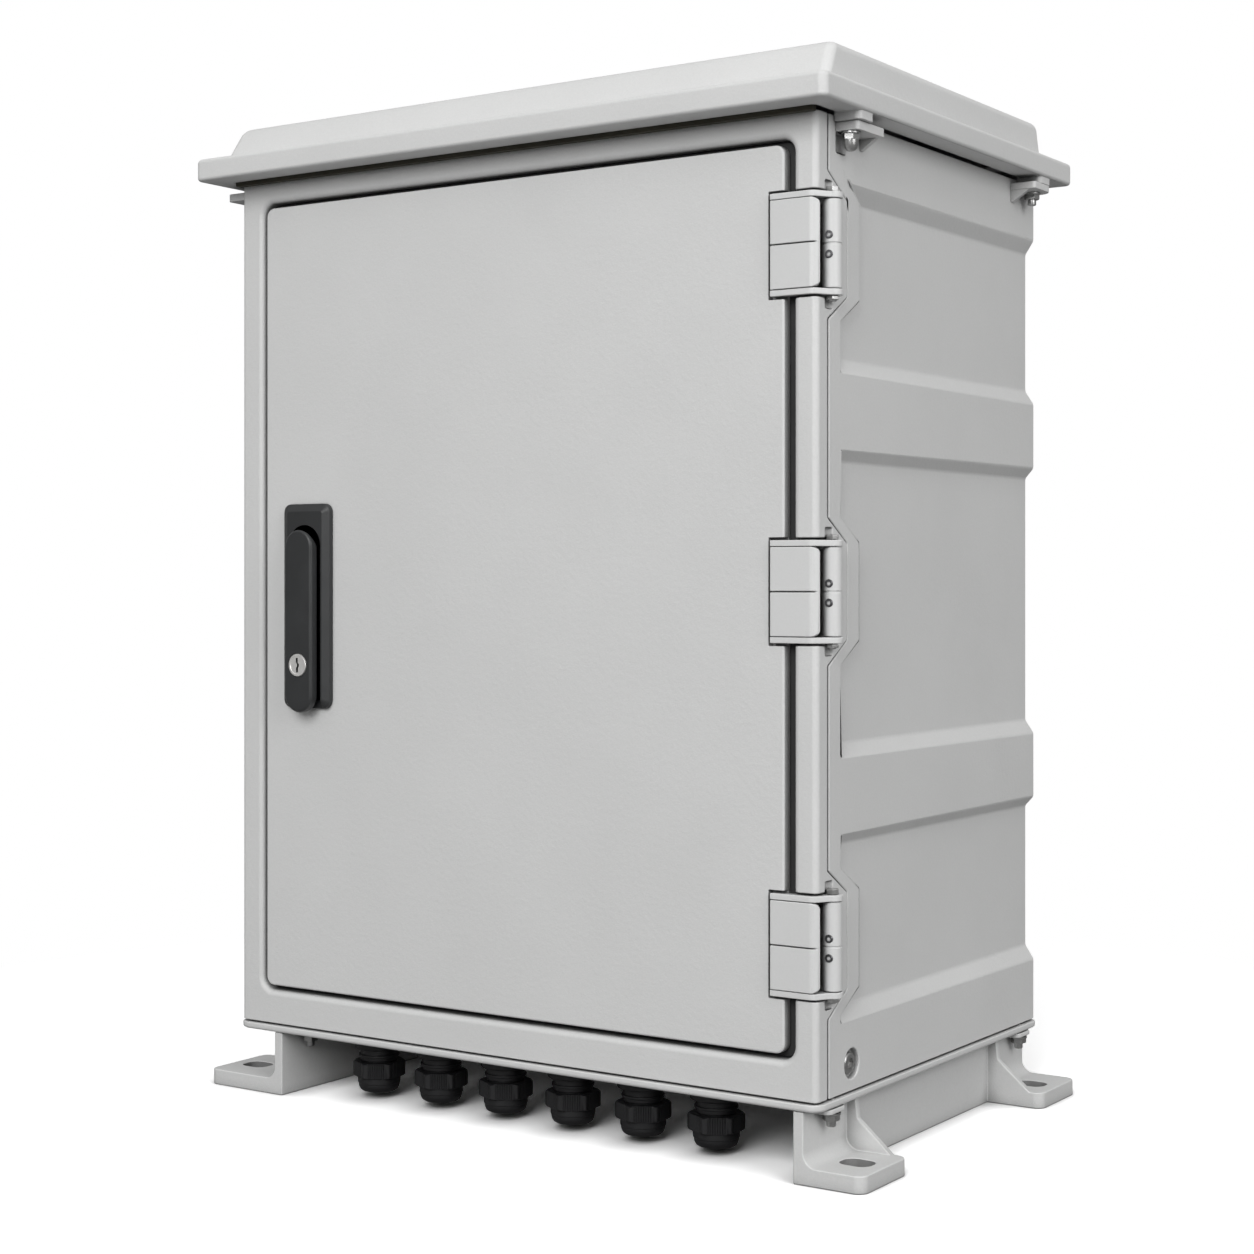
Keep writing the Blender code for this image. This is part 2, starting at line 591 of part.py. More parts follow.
def build_handle_base(mat, door):
    half = DISH_W / 2.0
    side = (HANDLE_X - half, HANDLE_X + half)
    outline = round_rect(side, DISH_Z, 7.5)
    sections = [(outline, FRONT - GAP), (outline, DISH_FRONT + 3.9)]
    for inset, y in ((1.0, DISH_FRONT + 2.9), (7.0, DISH_FRONT)):
        sections.append((round_rect((side[0] + inset, side[1] - inset),
                                    (DISH_Z[0] + inset, DISH_Z[1] - inset),
                                    max(7.5 - inset, 2.5)), y))
    dish = loft("Y", sections)
    cut(dish, prism(round_rect((HANDLE_X - 18.4, HANDLE_X + 18.4), (341.0, 513.6),
                               (0.0, 0.0, 18.3, 18.3), 8), "Y", DISH_FRONT - 2.0, -203.4),
        cylinder(HANDLE_X, SPINDLE_Z, 6.5, "Y", -215.0, -195.0, 24))
    node(dish, "handle_base", mat, door)


def build_gear_case(steel, door):
    low, high = SPINDLE_Z - 36.0, SPINDLE_Z + 36.0
    case = box((HANDLE_X - 22.0, HANDLE_X + 22.0), (FRONT + DOOR_SKIN + GAP, -173.0), (low, high))
    for side in (-1.0, 1.0):
        x = HANDLE_X + side * ROD_OFFSET
        cut(case, box((x - 3.5, x + 3.5), (ROD_Y[0] - 0.5, ROD_Y[1] + 0.5),
                      (low - 5.0, high + 5.0)))
    cut(case, cylinder(HANDLE_X, SPINDLE_Z, 6.5, "Y", -200.0, -170.0, 16),
        cylinder(HANDLE_X, SPINDLE_Z, 9.9, "Y", -184.5, -175.5, 16))
    node(case, "gear_case", steel, door)
    for tag, side, z in (("upper", 1.0, 745.0), ("lower", -1.0, 155.0)):
        x = HANDLE_X + side * ROD_OFFSET
        guide = box((x - 9.0, x + 9.0), (FRONT + DOOR_SKIN + GAP, -172.5), (z - 9.0, z + 9.0))
        cut(guide, box((x - 3.5, x + 3.5), (ROD_Y[0] - 0.5, ROD_Y[1] + 0.5),
                       (z - 15.0, z + 15.0)))
        node(guide, "rod_guide_" + tag, steel, door)


def build_spindle(steel, turn):
    shaft = cylinder(HANDLE_X, SPINDLE_Z, 6.0, "Y", -207.1, -171.0, 16)
    join(shaft, cylinder(HANDLE_X, SPINDLE_Z, 3.6, "Y", -212.0, -206.6, 12),
         cylinder(TILT_Y, SPINDLE_Z, 4.2, "X", HANDLE_X - 6.0, HANDLE_X + 6.0, 12),
         cylinder(HANDLE_X, SPINDLE_Z, 9.2, "Y", -184.0, -176.0, 16))
    node(shaft, "spindle", steel, turn)


def build_lever(mat, tilt):
    left, right = HANDLE_X - LEVER_W / 2.0, HANDLE_X + LEVER_W / 2.0
    radius = LEVER_W / 2.0
    outline = round_rect((left, right), LEVER_Z, radius - 0.01, 8)
    inset = round_rect((left + 1.8, right - 1.8), (LEVER_Z[0] + 1.8, LEVER_Z[1] - 1.8),
                       radius - 1.81, 8)
    bar = loft("Y", ((outline, LEVER_BACK), (outline, LEVER_FRONT + 1.8), (inset, LEVER_FRONT)))
    # relief behind the rounded top end, so that the lever can tilt out
    relief = ((-207.0, SPINDLE_Z + 2.0), (LEVER_BACK, SPINDLE_Z + 2.0),
              (-215.6, SPINDLE_Z + 18.0), (-207.0, SPINDLE_Z + 18.0))
    cut(bar, prism(relief, "X", left - 2.0, right + 2.0),
        cylinder(TILT_Y, SPINDLE_Z, 4.6, "X", HANDLE_X - 6.5, HANDLE_X + 6.5, 16),
        box((HANDLE_X - 4.2, HANDLE_X + 4.2), (TILT_Y, -206.0), (SPINDLE_Z - 6.0, SPINDLE_Z + 6.0)),
        cylinder(HANDLE_X, KEY_Z, 10.6, "Y", -220.0, -210.4, 28))
    node(bar, "lever", mat, tilt)


def build_key(metal, key):
    plug = cylinder(HANDLE_X, KEY_Z, 10.2, "Y", -217.6, -210.7, 28)
    cut(plug, box((HANDLE_X - 0.8, HANDLE_X + 0.8), (-219.0, -215.2), (KEY_Z - 6.5, KEY_Z + 6.5)))
    node(plug, "key_cylinder", metal, key)


def build_rod(tag, low, high, steel, slide):
    side = 1.0 if tag == "upper" else -1.0
    x = HANDLE_X + side * ROD_OFFSET
    rod = box((x - 3.0, x + 3.0), ROD_Y, (low, high))
    node(rod, "rod_" + tag, steel, slide)


def main():
    clear_scene()
    shell = material("moulded_grey", (0.60, 0.61, 0.60), 0.55)
    black = material("black_nylon", (0.022, 0.022, 0.023), 0.45)
    handle = material("handle_black", (0.035, 0.036, 0.037), 0.42)
    grey_metal = material("painted_zinc", (0.62, 0.63, 0.62), 0.45, 0.0)
    steel = material("stainless", (0.62, 0.62, 0.60), 0.28, 1.0)
    zinc = material("galvanised", (0.55, 0.56, 0.57), 0.40, 1.0)
    nickel = material("nickel", (0.75, 0.74, 0.71), 0.22, 1.0)
    brass = material("brass", (0.72, 0.55, 0.27), 0.35, 1.0)
    block = material("terminal_grey", (0.30, 0.31, 0.32), 0.50)
    rubber = material("gasket_rubber", (0.02, 0.02, 0.02), 0.75)

    build_housing(shell)
    build_canopy_brackets(shell)
    build_frame(shell)
    build_base_plate(shell)
    build_foot_rails(shell)
    build_canopy(shell)
    build_fixings(steel)
    build_glands(black)
    build_interior(zinc, brass, block, rubber)

    door = pivot("door_pivot", PIN_X, PIN_Y, SEAM)
    build_door(shell, door)
    for number, centre in enumerate(HINGE_Z, 1):
        build_hinge_fixed(number, centre, grey_metal, steel)
        build_hinge_door(number, centre, grey_metal, door)
    build_handle_base(handle, door)
    build_gear_case(zinc, door)
    turn = pivot("handle_pivot", HANDLE_X, TILT_Y, SPINDLE_Z, door)
    build_spindle(steel, turn)
    tilt = pivot("lever_pivot", HANDLE_X, TILT_Y, SPINDLE_Z, turn)
    build_lever(handle, tilt)
    key = pivot("key_pivot", HANDLE_X, -217.6, KEY_Z, tilt)
    build_key(nickel, key)
    upper = pivot("upper_rod_slide", HANDLE_X + ROD_OFFSET, ROD_Y[0], SPINDLE_Z, door)
    build_rod("upper", SPINDLE_Z - 3.0, RETURN_Z[1] - 10.0, zinc, upper)
    lower = pivot("lower_rod_slide", HANDLE_X - ROD_OFFSET, ROD_Y[0], SPINDLE_Z, door)
    build_rod("lower", RETURN_Z[0] + 10.0, SPINDLE_Z + 3.0, zinc, lower)


main()
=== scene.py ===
"""Outdoor cable enclosure: finished surfaces for the hinged cabinet, its canopy, feet, lock and glands."""
from math import cos, pi, radians, sin

import bmesh
import bpy
from bpy.props import FloatProperty, FloatVectorProperty, IntProperty, PointerProperty
from mathutils import Euler, Matrix, Vector


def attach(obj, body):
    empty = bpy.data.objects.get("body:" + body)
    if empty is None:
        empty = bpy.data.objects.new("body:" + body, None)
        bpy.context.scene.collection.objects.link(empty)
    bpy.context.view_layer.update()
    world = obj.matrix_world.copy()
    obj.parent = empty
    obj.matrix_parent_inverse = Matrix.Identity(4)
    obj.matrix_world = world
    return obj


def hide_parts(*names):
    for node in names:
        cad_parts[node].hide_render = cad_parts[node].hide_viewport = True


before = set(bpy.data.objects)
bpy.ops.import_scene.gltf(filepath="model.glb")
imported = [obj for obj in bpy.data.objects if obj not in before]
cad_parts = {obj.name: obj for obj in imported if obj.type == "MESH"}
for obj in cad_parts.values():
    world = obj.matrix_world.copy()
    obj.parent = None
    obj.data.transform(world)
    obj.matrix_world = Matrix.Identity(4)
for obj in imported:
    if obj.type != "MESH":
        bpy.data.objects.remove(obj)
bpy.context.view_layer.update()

bl_info = {
    "name": "Outdoor Cable Enclosure",
    "version": (1, 0, 0),
    "blender": (4, 5, 0),
    "location": "View3D > Sidebar > Enclosure",
    "description": "Builds a moulded outdoor cable enclosure piece by piece",
    "category": "Add Mesh",
}

MM = 0.001

# ---- sizes shared by several pieces, millimetres ----
HALF_W, FRONT, REAR, SEAM, TOP = 300.0, -200.0, 206.0, 64.0, 825.5
FRAME_BACK = FRONT + 16.7
GAP = 0.3
SCREW_HOLE, BOLT_HOLE = 3.4, 4.4
BANDS = ((None, None, 119.0, 131.0), (258.5, 267.0, 325.5, 337.0),
         (558.0, 567.0, 626.0, 638.0), (763.0, 775.0, None, None))
LIP_BACK = -162.0
OPEN_X, OPEN_Z = (-274.0, 279.0), (94.0, 806.0)
RETURN_X, RETURN_Z = (-258.0, 261.0), (110.0, 790.0)
DOOR_X, DOOR_Z = (-269.5, 271.0), (98.5, 801.5)
HINGE_Z = (183.0, 456.0, 724.0)
PIN_X, PIN_Y = 303.0, -181.0
BARREL_H, BARREL_R, PIN_R, PIN_BORE = 34.6, 7.6, 3.1, 3.6
STRAP_REACH, STRAP_T = BARREL_H + 0.4, 4.8
HANDLE_X, SPINDLE_Z, KEY_Z, TILT_Y = -216.7, 494.5, 389.5, -212.0
DISH_Z, DISH_FRONT = (351.0, 533.0), -208.0
LEVER_Z, LEVER_FRONT, LEVER_BACK = (347.5, 510.0), -217.0, -208.4
GLAND_Y, GLAND_COUNT, GLAND_PITCH = -150.0, 6, 71.5
CANOPY_X, CANOPY_Y = 326.0, 234.0
FLANGE_Z, ROOF_Z = (827.0, 847.0), 880.0
CANOPY_BOLT = ((309.0, -162.0), (310.0, 179.0))
BRACKET_Z = ((813.0, 820.0), (814.5, 820.5))
SIDE_SCREW = (-143.6, 85.3)
RAIL_X, FOOT_OUT, EAR_T = (279.0, 288.0), 340.0, 14.0
FRONT_EAR, REAR_EAR = (-200.5, -125.0), (132.0, 208.0)
LEFT_RAIL_X = (250.5, 259.5)
FOOT_BOLT_X, FOOT_BOLT_Y = {1.0: 296.5, -1.0: 242.5}, (-171.0, 180.0)
RAIL_TOP = 56.3
SLOT_X, SLOT_Y = 315.0, (sum(FRONT_EAR) / 2.0, sum(REAR_EAR) / 2.0 - 4.0)
PLATE_Y = (170.0, 173.0)
PLATE_HOLES = [(x, z) for x in (-215.0, 215.0) for z in (125.0, 755.0)]
DIN_Z, EARTH_Z = 560.0, 162.0
SIDES = (-1.0, 1.0)
WHITE = (1.0, 1.0, 1.0, 1.0)


def length(name, default, text):
    """A size in metres whose default is given in millimetres."""
    return FloatProperty(name=name, description=text, default=default * MM, min=0.0,
                         subtype="DISTANCE", unit="LENGTH")


def colour(name, default, text):
    return FloatVectorProperty(name=name, description=text, default=default, min=0.0, max=1.0,
                               size=3, subtype="COLOR")


class EnclosureSizes(bpy.types.PropertyGroup):
    frame_roll: length("Frame corner roll", 5.0, "Radius on the two upright front corners")
    opening_roll: length("Opening edge roll", 5.5, "Radius round the door opening")
    door_roll: length("Door edge roll", 1.8, "Radius on the front edge of the door")
    band_roll: length("Band roll", 1.8, "Softness of the slopes beside the raised bands")
    edge_roll: length("Moulded edge roll", 1.2, "Radius on the other moulded edges")
    roof_roll: length("Roof roll", 8.0, "Radius round the top of the canopy")
    flange_roll: length("Canopy rim roll", 4.0, "Radius on the upper edge of the canopy rim")
    gland_count: IntProperty(name="Glands", description="Cable glands in the row",
                             default=GLAND_COUNT, min=1)
    gland_pitch: length("Gland pitch", GLAND_PITCH, "Distance from one cable gland to the next")
    terminal_count: IntProperty(name="Terminals", description="Terminals on the rail", default=10,
                                min=1)
    terminal_pitch: length("Terminal pitch", 29.0, "Distance from one terminal to the next")


class EnclosureFinishes(bpy.types.PropertyGroup):
    shell: colour("Shell", (0.600, 0.602, 0.598), "Moulded grey of cabinet, door and canopy")
    hinge: colour("Hinges", (0.600, 0.603, 0.600), "Painted hinge castings")
    handle: colour("Handle", (0.024, 0.025, 0.026), "Satin black of dish and lever")
    gland: colour("Glands", (0.010, 0.010, 0.011), "Black nylon of the cable glands")
    steel: colour("Stainless", (0.46, 0.46, 0.455), "Bolts, nuts and hinge pins")
    screw: colour("Set screws", (0.15, 0.15, 0.155), "Blackened set screws in the hinges")
    zinc: colour("Galvanised", (0.52, 0.53, 0.54), "Sheet parts inside the cabinet")
    floor: colour("Floor", (0.24, 0.24, 0.24), "Studio floor")
    peel: FloatProperty(name="Peel depth", description="Strength of the fine moulded texture",
                        default=0.80, min=0.0, max=1.0, subtype="FACTOR")


# ---- shaping ----
def finish(bm, name="shape"):
    bmesh.ops.recalc_face_normals(bm, faces=bm.faces)
    mesh = bpy.data.meshes.new(name)
    bm.to_mesh(mesh)
    bm.free()
    obj = bpy.data.objects.new(name, mesh)
    bpy.context.scene.collection.objects.link(obj)
    return obj


def place(axis, u, v, w):
    if axis == "X":
        return Vector((w, u, v)) * MM
    if axis == "Y":
        return Vector((u, w, v)) * MM
    return Vector((u, v, w)) * MM


def loft(axis, sections):
    """Solid through outlines with equal point counts, given as (outline, level)."""
    bm = bmesh.new()
    rings = [[bm.verts.new(place(axis, u, v, level)) for u, v in outline]
             for outline, level in sections]
    bm.faces.new(rings[0])
    bm.faces.new(rings[-1])
    count = len(rings[0])
    for lower, upper in zip(rings, rings[1:]):
        for i in range(count):
            j = (i + 1) % count
            bm.faces.new((lower[i], lower[j], upper[j], upper[i]))
    return finish(bm)


def prism(outline, axis, low, high):
    return loft(axis, ((outline, low), (outline, high)))


def box(x, y, z):
    return prism(((x[0], y[0]), (x[1], y[0]), (x[1], y[1]), (x[0], y[1])), "Z", z[0], z[1])


def round_rect(u, v, radius, steps=8):
    radii = radius if isinstance(radius, tuple) else (radius,) * 4
    corners = ((u[0], v[0], 180.0), (u[1], v[0], 270.0), (u[1], v[1], 0.0), (u[0], v[1], 90.0))
    points = []
    for (cu, cv, start), r in zip(corners, radii):
        if r <= 0.0:
            points.append((cu, cv))
            continue
        mu = cu + (r if cu == u[0] else -r)
        mv = cv + (r if cv == v[0] else -r)
        for k in range(steps + 1):
            a = radians(start + 90.0 * k / steps)
            points.append((mu + r * cos(a), mv + r * sin(a)))
    return points


def circle(cu, cv, radius, steps=48):
    return [(cu + radius * cos(2 * pi * k / steps), cv + radius * sin(2 * pi * k / steps))
            for k in range(steps)]


def arc(cu, cv, radius, start, end, step):
    """Points round (cu, cv) from start up to and including end, in whole degrees."""
    return [(cu + radius * cos(radians(a)), cv + radius * sin(radians(a)))
            for a in range(start, end + (1 if step > 0 else -1), step)]


def rolled_edge(radius, level, step, way=1.0):
    """Quarter round as (inset, level) pairs, which starts square to the side."""
    return [(radius * (1.0 - cos(radians(a))), level + way * radius * sin(radians(a)))
            for a in range(0, 91, step)]


def cylinder(cu, cv, radius, axis, low, high, steps=48):
    return prism(circle(cu, cv, radius, steps), axis, low, high)


def turned(axis, cu, cv, profile, steps=48):
    """Solid of revolution; profile runs as (radius, level) and closes on the axis."""
    bm = bmesh.new()
    rings = []
    for radius, level in profile:
        if radius <= 0.0:
            rings.append([bm.verts.new(place(axis, cu, cv, level))])
        else:
            rings.append([bm.verts.new(place(axis, u, v, level))
                          for u, v in circle(cu, cv, radius, steps)])
    for lower, upper in zip(rings, rings[1:]):
        for i in range(steps):
            j = (i + 1) % steps
            if len(lower) == 1:
                bm.faces.new((lower[0], upper[i], upper[j]))
            elif len(upper) == 1:
                bm.faces.new((lower[i], lower[j], upper[0]))
            else:
                bm.faces.new((lower[i], lower[j], upper[j], upper[i]))
    for ring in (rings[0], rings[-1]):
        if len(ring) > 1:
            bm.faces.new(ring)
    return finish(bm)


def spun(axis, profile, steps=48):
    """Turned solid on its own centre line."""
    return turned(axis, 0.0, 0.0, profile, steps)


def settle(obj):
    """Put the evaluated shape into the object's own mesh and drop its modifiers."""
    graph = bpy.context.evaluated_depsgraph_get()
    mesh = bpy.data.meshes.new_from_object(obj.evaluated_get(graph))
    obj.modifiers.clear()
    obj.data = mesh
    return obj


def combine(target, tools, operation):
    for tool in tools:
        mod = target.modifiers.new("shape", "BOOLEAN")
        mod.operation = operation
        mod.solver = "EXACT"
        mod.object = tool
        settle(target)
        bpy.data.objects.remove(tool, do_unlink=True)
    return target


def join(target, *tools):
    return combine(target, tools, "UNION")


def cut(target, *tools):
    return combine(target, tools, "DIFFERENCE")


def common(target, *tools):
    return combine(target, tools, "INTERSECT")


def mirrored(obj):
    bm = bmesh.new()
    bm.from_mesh(obj.data)
    bmesh.ops.transform(bm, matrix=Matrix.Scale(-1.0, 4, (1, 0, 0)), verts=bm.verts)
    bmesh.ops.reverse_faces(bm, faces=bm.faces)
    return finish(bm)


def tidy_mesh(obj):
    """Merge doubles and flat neighbours left by cutting, so that edges round evenly."""
    bm = bmesh.new()
    bm.from_mesh(obj.data)
    bmesh.ops.remove_doubles(bm, verts=bm.verts, dist=4e-6)
    bmesh.ops.dissolve_degenerate(bm, dist=4e-6, edges=bm.edges)
    bmesh.ops.dissolve_limit(bm, angle_limit=radians(0.25), verts=bm.verts, edges=bm.edges)
    bm.to_mesh(obj.data)
    bm.free()


def roll(obj, radius, steps, pick, least=12.0):
    """Round the edges that pick(middle, direction) chooses, both in millimetres."""
    tidy_mesh(obj)
    bm = bmesh.new()
    bm.from_mesh(obj.data)
    edges = []
    for edge in bm.edges:
        if len(edge.link_faces) != 2 or edge.calc_face_angle(0.0) < radians(least):
            continue
        a, b = edge.verts[0].co / MM, edge.verts[1].co / MM
        if pick((a + b) / 2.0, b - a):
            edges.append(edge)
    if edges:
        bmesh.ops.bevel(bm, geom=edges, offset=radius * MM, offset_type="OFFSET", segments=steps,
                        profile=0.5, affect="EDGES", clamp_overlap=False)
    bm.to_mesh(obj.data)
    bm.free()


def soften(obj, width, steps=3, angle=40.0):
    """Round every edge sharper than angle."""
    tidy_mesh(obj)
    mod = obj.modifiers.new("edges", "BEVEL")
    mod.width = width * MM
    mod.segments = steps
    mod.limit_method = "ANGLE"
    mod.angle_limit = radians(angle)
    mod.use_clamp_overlap = False
    mod.miter_outer = "MITER_ARC"
    return settle(obj)


def polish(obj):
    """Smooth shading that keeps flats flat."""
    obj.data.shade_smooth()
    obj.data.set_sharp_from_angle(angle=radians(42.0))
    mod = obj.modifiers.new("normals", "WEIGHTED_NORMAL")
    mod.keep_sharp = True
    mod.weight = 60
    return settle(obj)


def piece(obj, name, kind, body, *nodes):
    """Name a finished shape, coat it, hide the CAD nodes it stands in for, and tie it to its body."""
    obj.name = name
    obj.data.name = name
    obj.data.materials.clear()
    obj.data.materials.append(finishes()[kind])
    polish(obj)
    if nodes:
        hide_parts(*nodes)
    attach(obj, body)
    return obj


def four_nodes(stem):
    """Names of the CAD nodes of a part that stands at all four corners."""
    return ["%s_%s_%s" % (stem, spot, tag) for spot in ("front", "rear") for tag in ("left", "right")]


def repaint(obj, kind, pick):
    """Give a second finish to the faces whose centre (mm) and normal are picked."""
    obj.data.materials.append(finishes()[kind])
    for face in obj.data.polygons:
        if pick(face.center / MM, face.normal):
            face.material_index = 1


# ---- nodes ----
def add(tree, kind, inputs=None, **settings):
    """New node with its settings; each input is a socket to link or a plain value."""
    item = tree.nodes.new(kind)
    for key, value in settings.items():
        setattr(item, key, value)
    for key, value in (inputs or {}).items():
        if isinstance(value, bpy.types.NodeSocket):
            tree.links.new(value, item.inputs[key])
        else:
            item.inputs[key].default_value = value
    return item


def number(tree, operation, *values):
    return add(tree, "ShaderNodeMath", dict(enumerate(values)), operation=operation).outputs[0]


# ---- repeated parts, made with geometry nodes ----
def instancer(name, sockets):
    """Group that puts the unit on points and coats it; the points are still to be wired."""
    tree = bpy.data.node_groups.new(name, "GeometryNodeTree")
    for label, kind in (*sockets, ("Unit", "Object"), ("Finish", "Material")):
        tree.interface.new_socket(label, in_out="INPUT", socket_type="NodeSocket" + kind)
    tree.interface.new_socket("Result", in_out="OUTPUT", socket_type="NodeSocketGeometry")
    start = add(tree, "NodeGroupInput").outputs
    unit = add(tree, "GeometryNodeObjectInfo", {"Object": start["Unit"]}).outputs["Geometry"]
    spread = add(tree, "GeometryNodeInstanceOnPoints", {"Instance": unit})
    real = add(tree, "GeometryNodeRealizeInstances", {"Geometry": spread.outputs["Instances"]})
    coat = add(tree, "GeometryNodeSetMaterial", {"Geometry": real.outputs["Geometry"],
                                                 "Material": start["Finish"]})
    add(tree, "NodeGroupOutput", {"Result": coat.outputs["Geometry"]})
    return tree, start, spread.inputs


def repeat_tree():
    """Places one unit on every point, turned by the point's own turn attribute."""
    known = bpy.data.node_groups.get("repeat_at_points")
    if known:
        return known
    tree, start, spread = instancer("repeat_at_points", (("Points", "Geometry"),))
    turn = add(tree, "GeometryNodeInputNamedAttribute", {"Name": "turn"}, data_type="FLOAT_VECTOR")
    angle = add(tree, "FunctionNodeEulerToRotation", {0: turn.outputs["Attribute"]}).outputs[0]
    tree.links.new(start["Points"], spread["Points"])
    tree.links.new(angle, spread["Rotation"])
    return tree


def row_tree():
    """Places one unit along a straight row with a count and a pitch."""
    known = bpy.data.node_groups.get("row_along_x")
    if known:
        return known
    tree, start, spread = instancer("row_along_x", (
        ("Geometry", "Geometry"), ("Count", "Int"), ("Pitch", "Float"), ("Centre", "Vector")))
    steps = number(tree, "SUBTRACT", start["Count"], 1.0)
    back = number(tree, "MULTIPLY", number(tree, "MULTIPLY", steps, start["Pitch"]), -0.5)
    first = add(tree, "ShaderNodeCombineXYZ", {"X": back}).outputs[0]
    origin = add(tree, "ShaderNodeVectorMath", {0: first, 1: start["Centre"]}).outputs[0]
    step = add(tree, "ShaderNodeCombineXYZ", {"X": start["Pitch"]}).outputs[0]
    line = add(tree, "GeometryNodeMeshLine", {"Count": start["Count"], "Start Location": origin,
                                              "Offset": step}, mode="OFFSET")
    tree.links.new(line.outputs["Mesh"], spread["Points"])
    return tree


def grow(mesh, tree, unit, kind, values=None):
    """Run a tree on mesh with its named inputs, keep the plain mesh, drop the unit."""
    base = bpy.data.objects.new("repeat", mesh)
    bpy.context.scene.collection.objects.link(base)
    mod = base.modifiers.new("repeat", "NODES")
    keys = {item.name: item.identifier for item in tree.interface.items_tree
            if item.in_out == "INPUT"}
    mod.node_group = tree
    given = {"Unit": unit, "Finish": finishes()[kind], **(values or {})}
    for name, value in given.items():
        mod[keys[name]] = value
    base.update_tag()
    settle(base)
    bpy.data.objects.remove(unit, do_unlink=True)
    return base


def at_points(unit, spots, kind):
    """spots are (place in mm, turn in degrees)."""
    mesh = bpy.data.meshes.new("spots")
    mesh.from_pydata([Vector(spot) * MM for spot, _ in spots], [], [])
    turn = mesh.attributes.new("turn", "FLOAT_VECTOR", "POINT")
    for item, (_, angle) in zip(turn.data, spots):
        item.vector = [radians(a) for a in angle]
    return grow(mesh, repeat_tree(), unit, kind)


def in_row(unit, count, pitch, centre, kind):
    return grow(bpy.data.meshes.new("row"), row_tree(), unit, kind,
                {"Count": count, "Pitch": pitch, "Centre": Vector(centre) * MM})


# ---- finishes ----
def blank(name, metallic=0.0):
    """New material, its tree, its shader and its object coordinates."""
    mat = bpy.data.materials.new(name)
    mat.use_nodes = True
    tree = mat.node_tree
    shader = tree.nodes["Principled BSDF"]
    shader.inputs["Metallic"].default_value = metallic
    where = add(tree, "ShaderNodeTexCoord").outputs["Object"]
    return mat, tree, shader, where


def grain(tree, where, scale, detail=2.0, rough=0.5):
    return add(tree, "ShaderNodeTexNoise", {"Vector": where, "Scale": scale, "Detail": detail,
                                            "Roughness": rough}).outputs["Fac"]


def between(tree, value, low, high, start=0.25, end=0.75):
    return add(tree, "ShaderNodeMapRange", {"Value": value, "From Min": start, "From Max": end,
                                            "To Min": low, "To Max": high}).outputs["Result"]


def tint(tree, factor, dark, light):
    """Mix of two colours, each plain or a socket."""
    ends = [end if isinstance(end, bpy.types.NodeSocket) else (*end, 1.0) for end in (dark, light)]
    return add(tree, "ShaderNodeMix", {"Factor": factor, "A": ends[0], "B": ends[1]},
               data_type="RGBA").outputs["Result"]


def shade(rgb, factor):
    return tuple(min(1.0, c * factor) for c in rgb)


def dress(tree, shader, tone, rough, layers):
    """Wire colour and roughness, and stack bumps given as (height, strength, depth in mm)."""
    tree.links.new(tone, shader.inputs["Base Color"])
    tree.links.new(rough, shader.inputs["Roughness"])
    last = None
    for height, strength, depth in layers:
        bump = add(tree, "ShaderNodeBump", {"Height": height, "Strength": strength,
                                            "Distance": depth * MM})
        if last is not None:
            tree.links.new(last, bump.inputs["Normal"])
        last = bump.outputs["Normal"]
    tree.links.new(last, shader.inputs["Normal"])


# Painted shade: reach, occlusion range and tone of the darkening that ambient occlusion paints into seams,
# creases and recesses.
CREASE_SHADE_REACH, CREASE_SHADE_SPAN, CREASE_SHADE_TONE = 0.02, (0.12, 0.62), 0.22


def moulded(name, rgb, peel, rough=(0.40, 0.56), speck=0.05):
    """Glass-filled moulding: soft mottling, fine specks, an orange-peel skin, and painted shade darkening
    the colour in seams and inner corners.
    """
    mat, tree, shader, where = blank(name)
    clouds = between(tree, grain(tree, where, 7.0, 3.0), 0.0, 1.0)
    specks = between(tree, grain(tree, where, 620.0, 2.0, 0.6), 0.0, 1.0, 0.3, 0.7)
    half = number(tree, "MULTIPLY", number(tree, "ADD", clouds, specks), 0.5)
    skin = tint(tree, half, shade(rgb, 1.0 - speck), shade(rgb, 1.0 + speck))
    # Painted shade: the colour darkens where ambient occlusion finds seams, inner corners and recesses.
    closed = add(tree, "ShaderNodeAmbientOcclusion", {"Distance": CREASE_SHADE_REACH}, samples=6).outputs["AO"]
    clear = between(tree, closed, 0.0, 1.0, *CREASE_SHADE_SPAN)
    dress(tree, shader, tint(tree, clear, shade(rgb, CREASE_SHADE_TONE), skin),
          between(tree, grain(tree, where, 34.0, 4.0), *rough),
          ((grain(tree, where, 210.0, 3.0, 0.55), peel, 0.30),
           (grain(tree, where, 760.0, 2.0, 0.5), peel, 0.12)))
    return mat


def black_plastic(name, rgb, rough):
    """Spark-eroded black moulding with a fine even grain."""
    mat, tree, shader, where = blank(name)
    patches = between(tree, grain(tree, where, 26.0, 3.0), 0.0, 1.0)
    dress(tree, shader, tint(tree, patches, shade(rgb, 0.86), shade(rgb, 1.22)),
          between(tree, grain(tree, where, 70.0, 4.0), *rough),
          ((grain(tree, where, 1300.0, 2.0, 0.6), 0.28, 0.10),))
    return mat


def bright_metal(name, rgb, rough, stretch=(1.0, 1.0, 14.0)):
    """Drawn or turned metal: fine lines along one way and slight tarnish."""
    mat, tree, shader, where = blank(name, 1.0)
    lines = add(tree, "ShaderNodeMapping", {"Vector": where, "Scale": stretch}).outputs["Vector"]
    marks = grain(tree, lines, 300.0, 3.0)
    stain = between(tree, grain(tree, where, 55.0, 4.0), 0.0, 1.0)
    dress(tree, shader, tint(tree, stain, shade(rgb, 0.86), shade(rgb, 1.06)),
          between(tree, marks, *rough), ((marks, 0.04, 0.02),))
    return mat


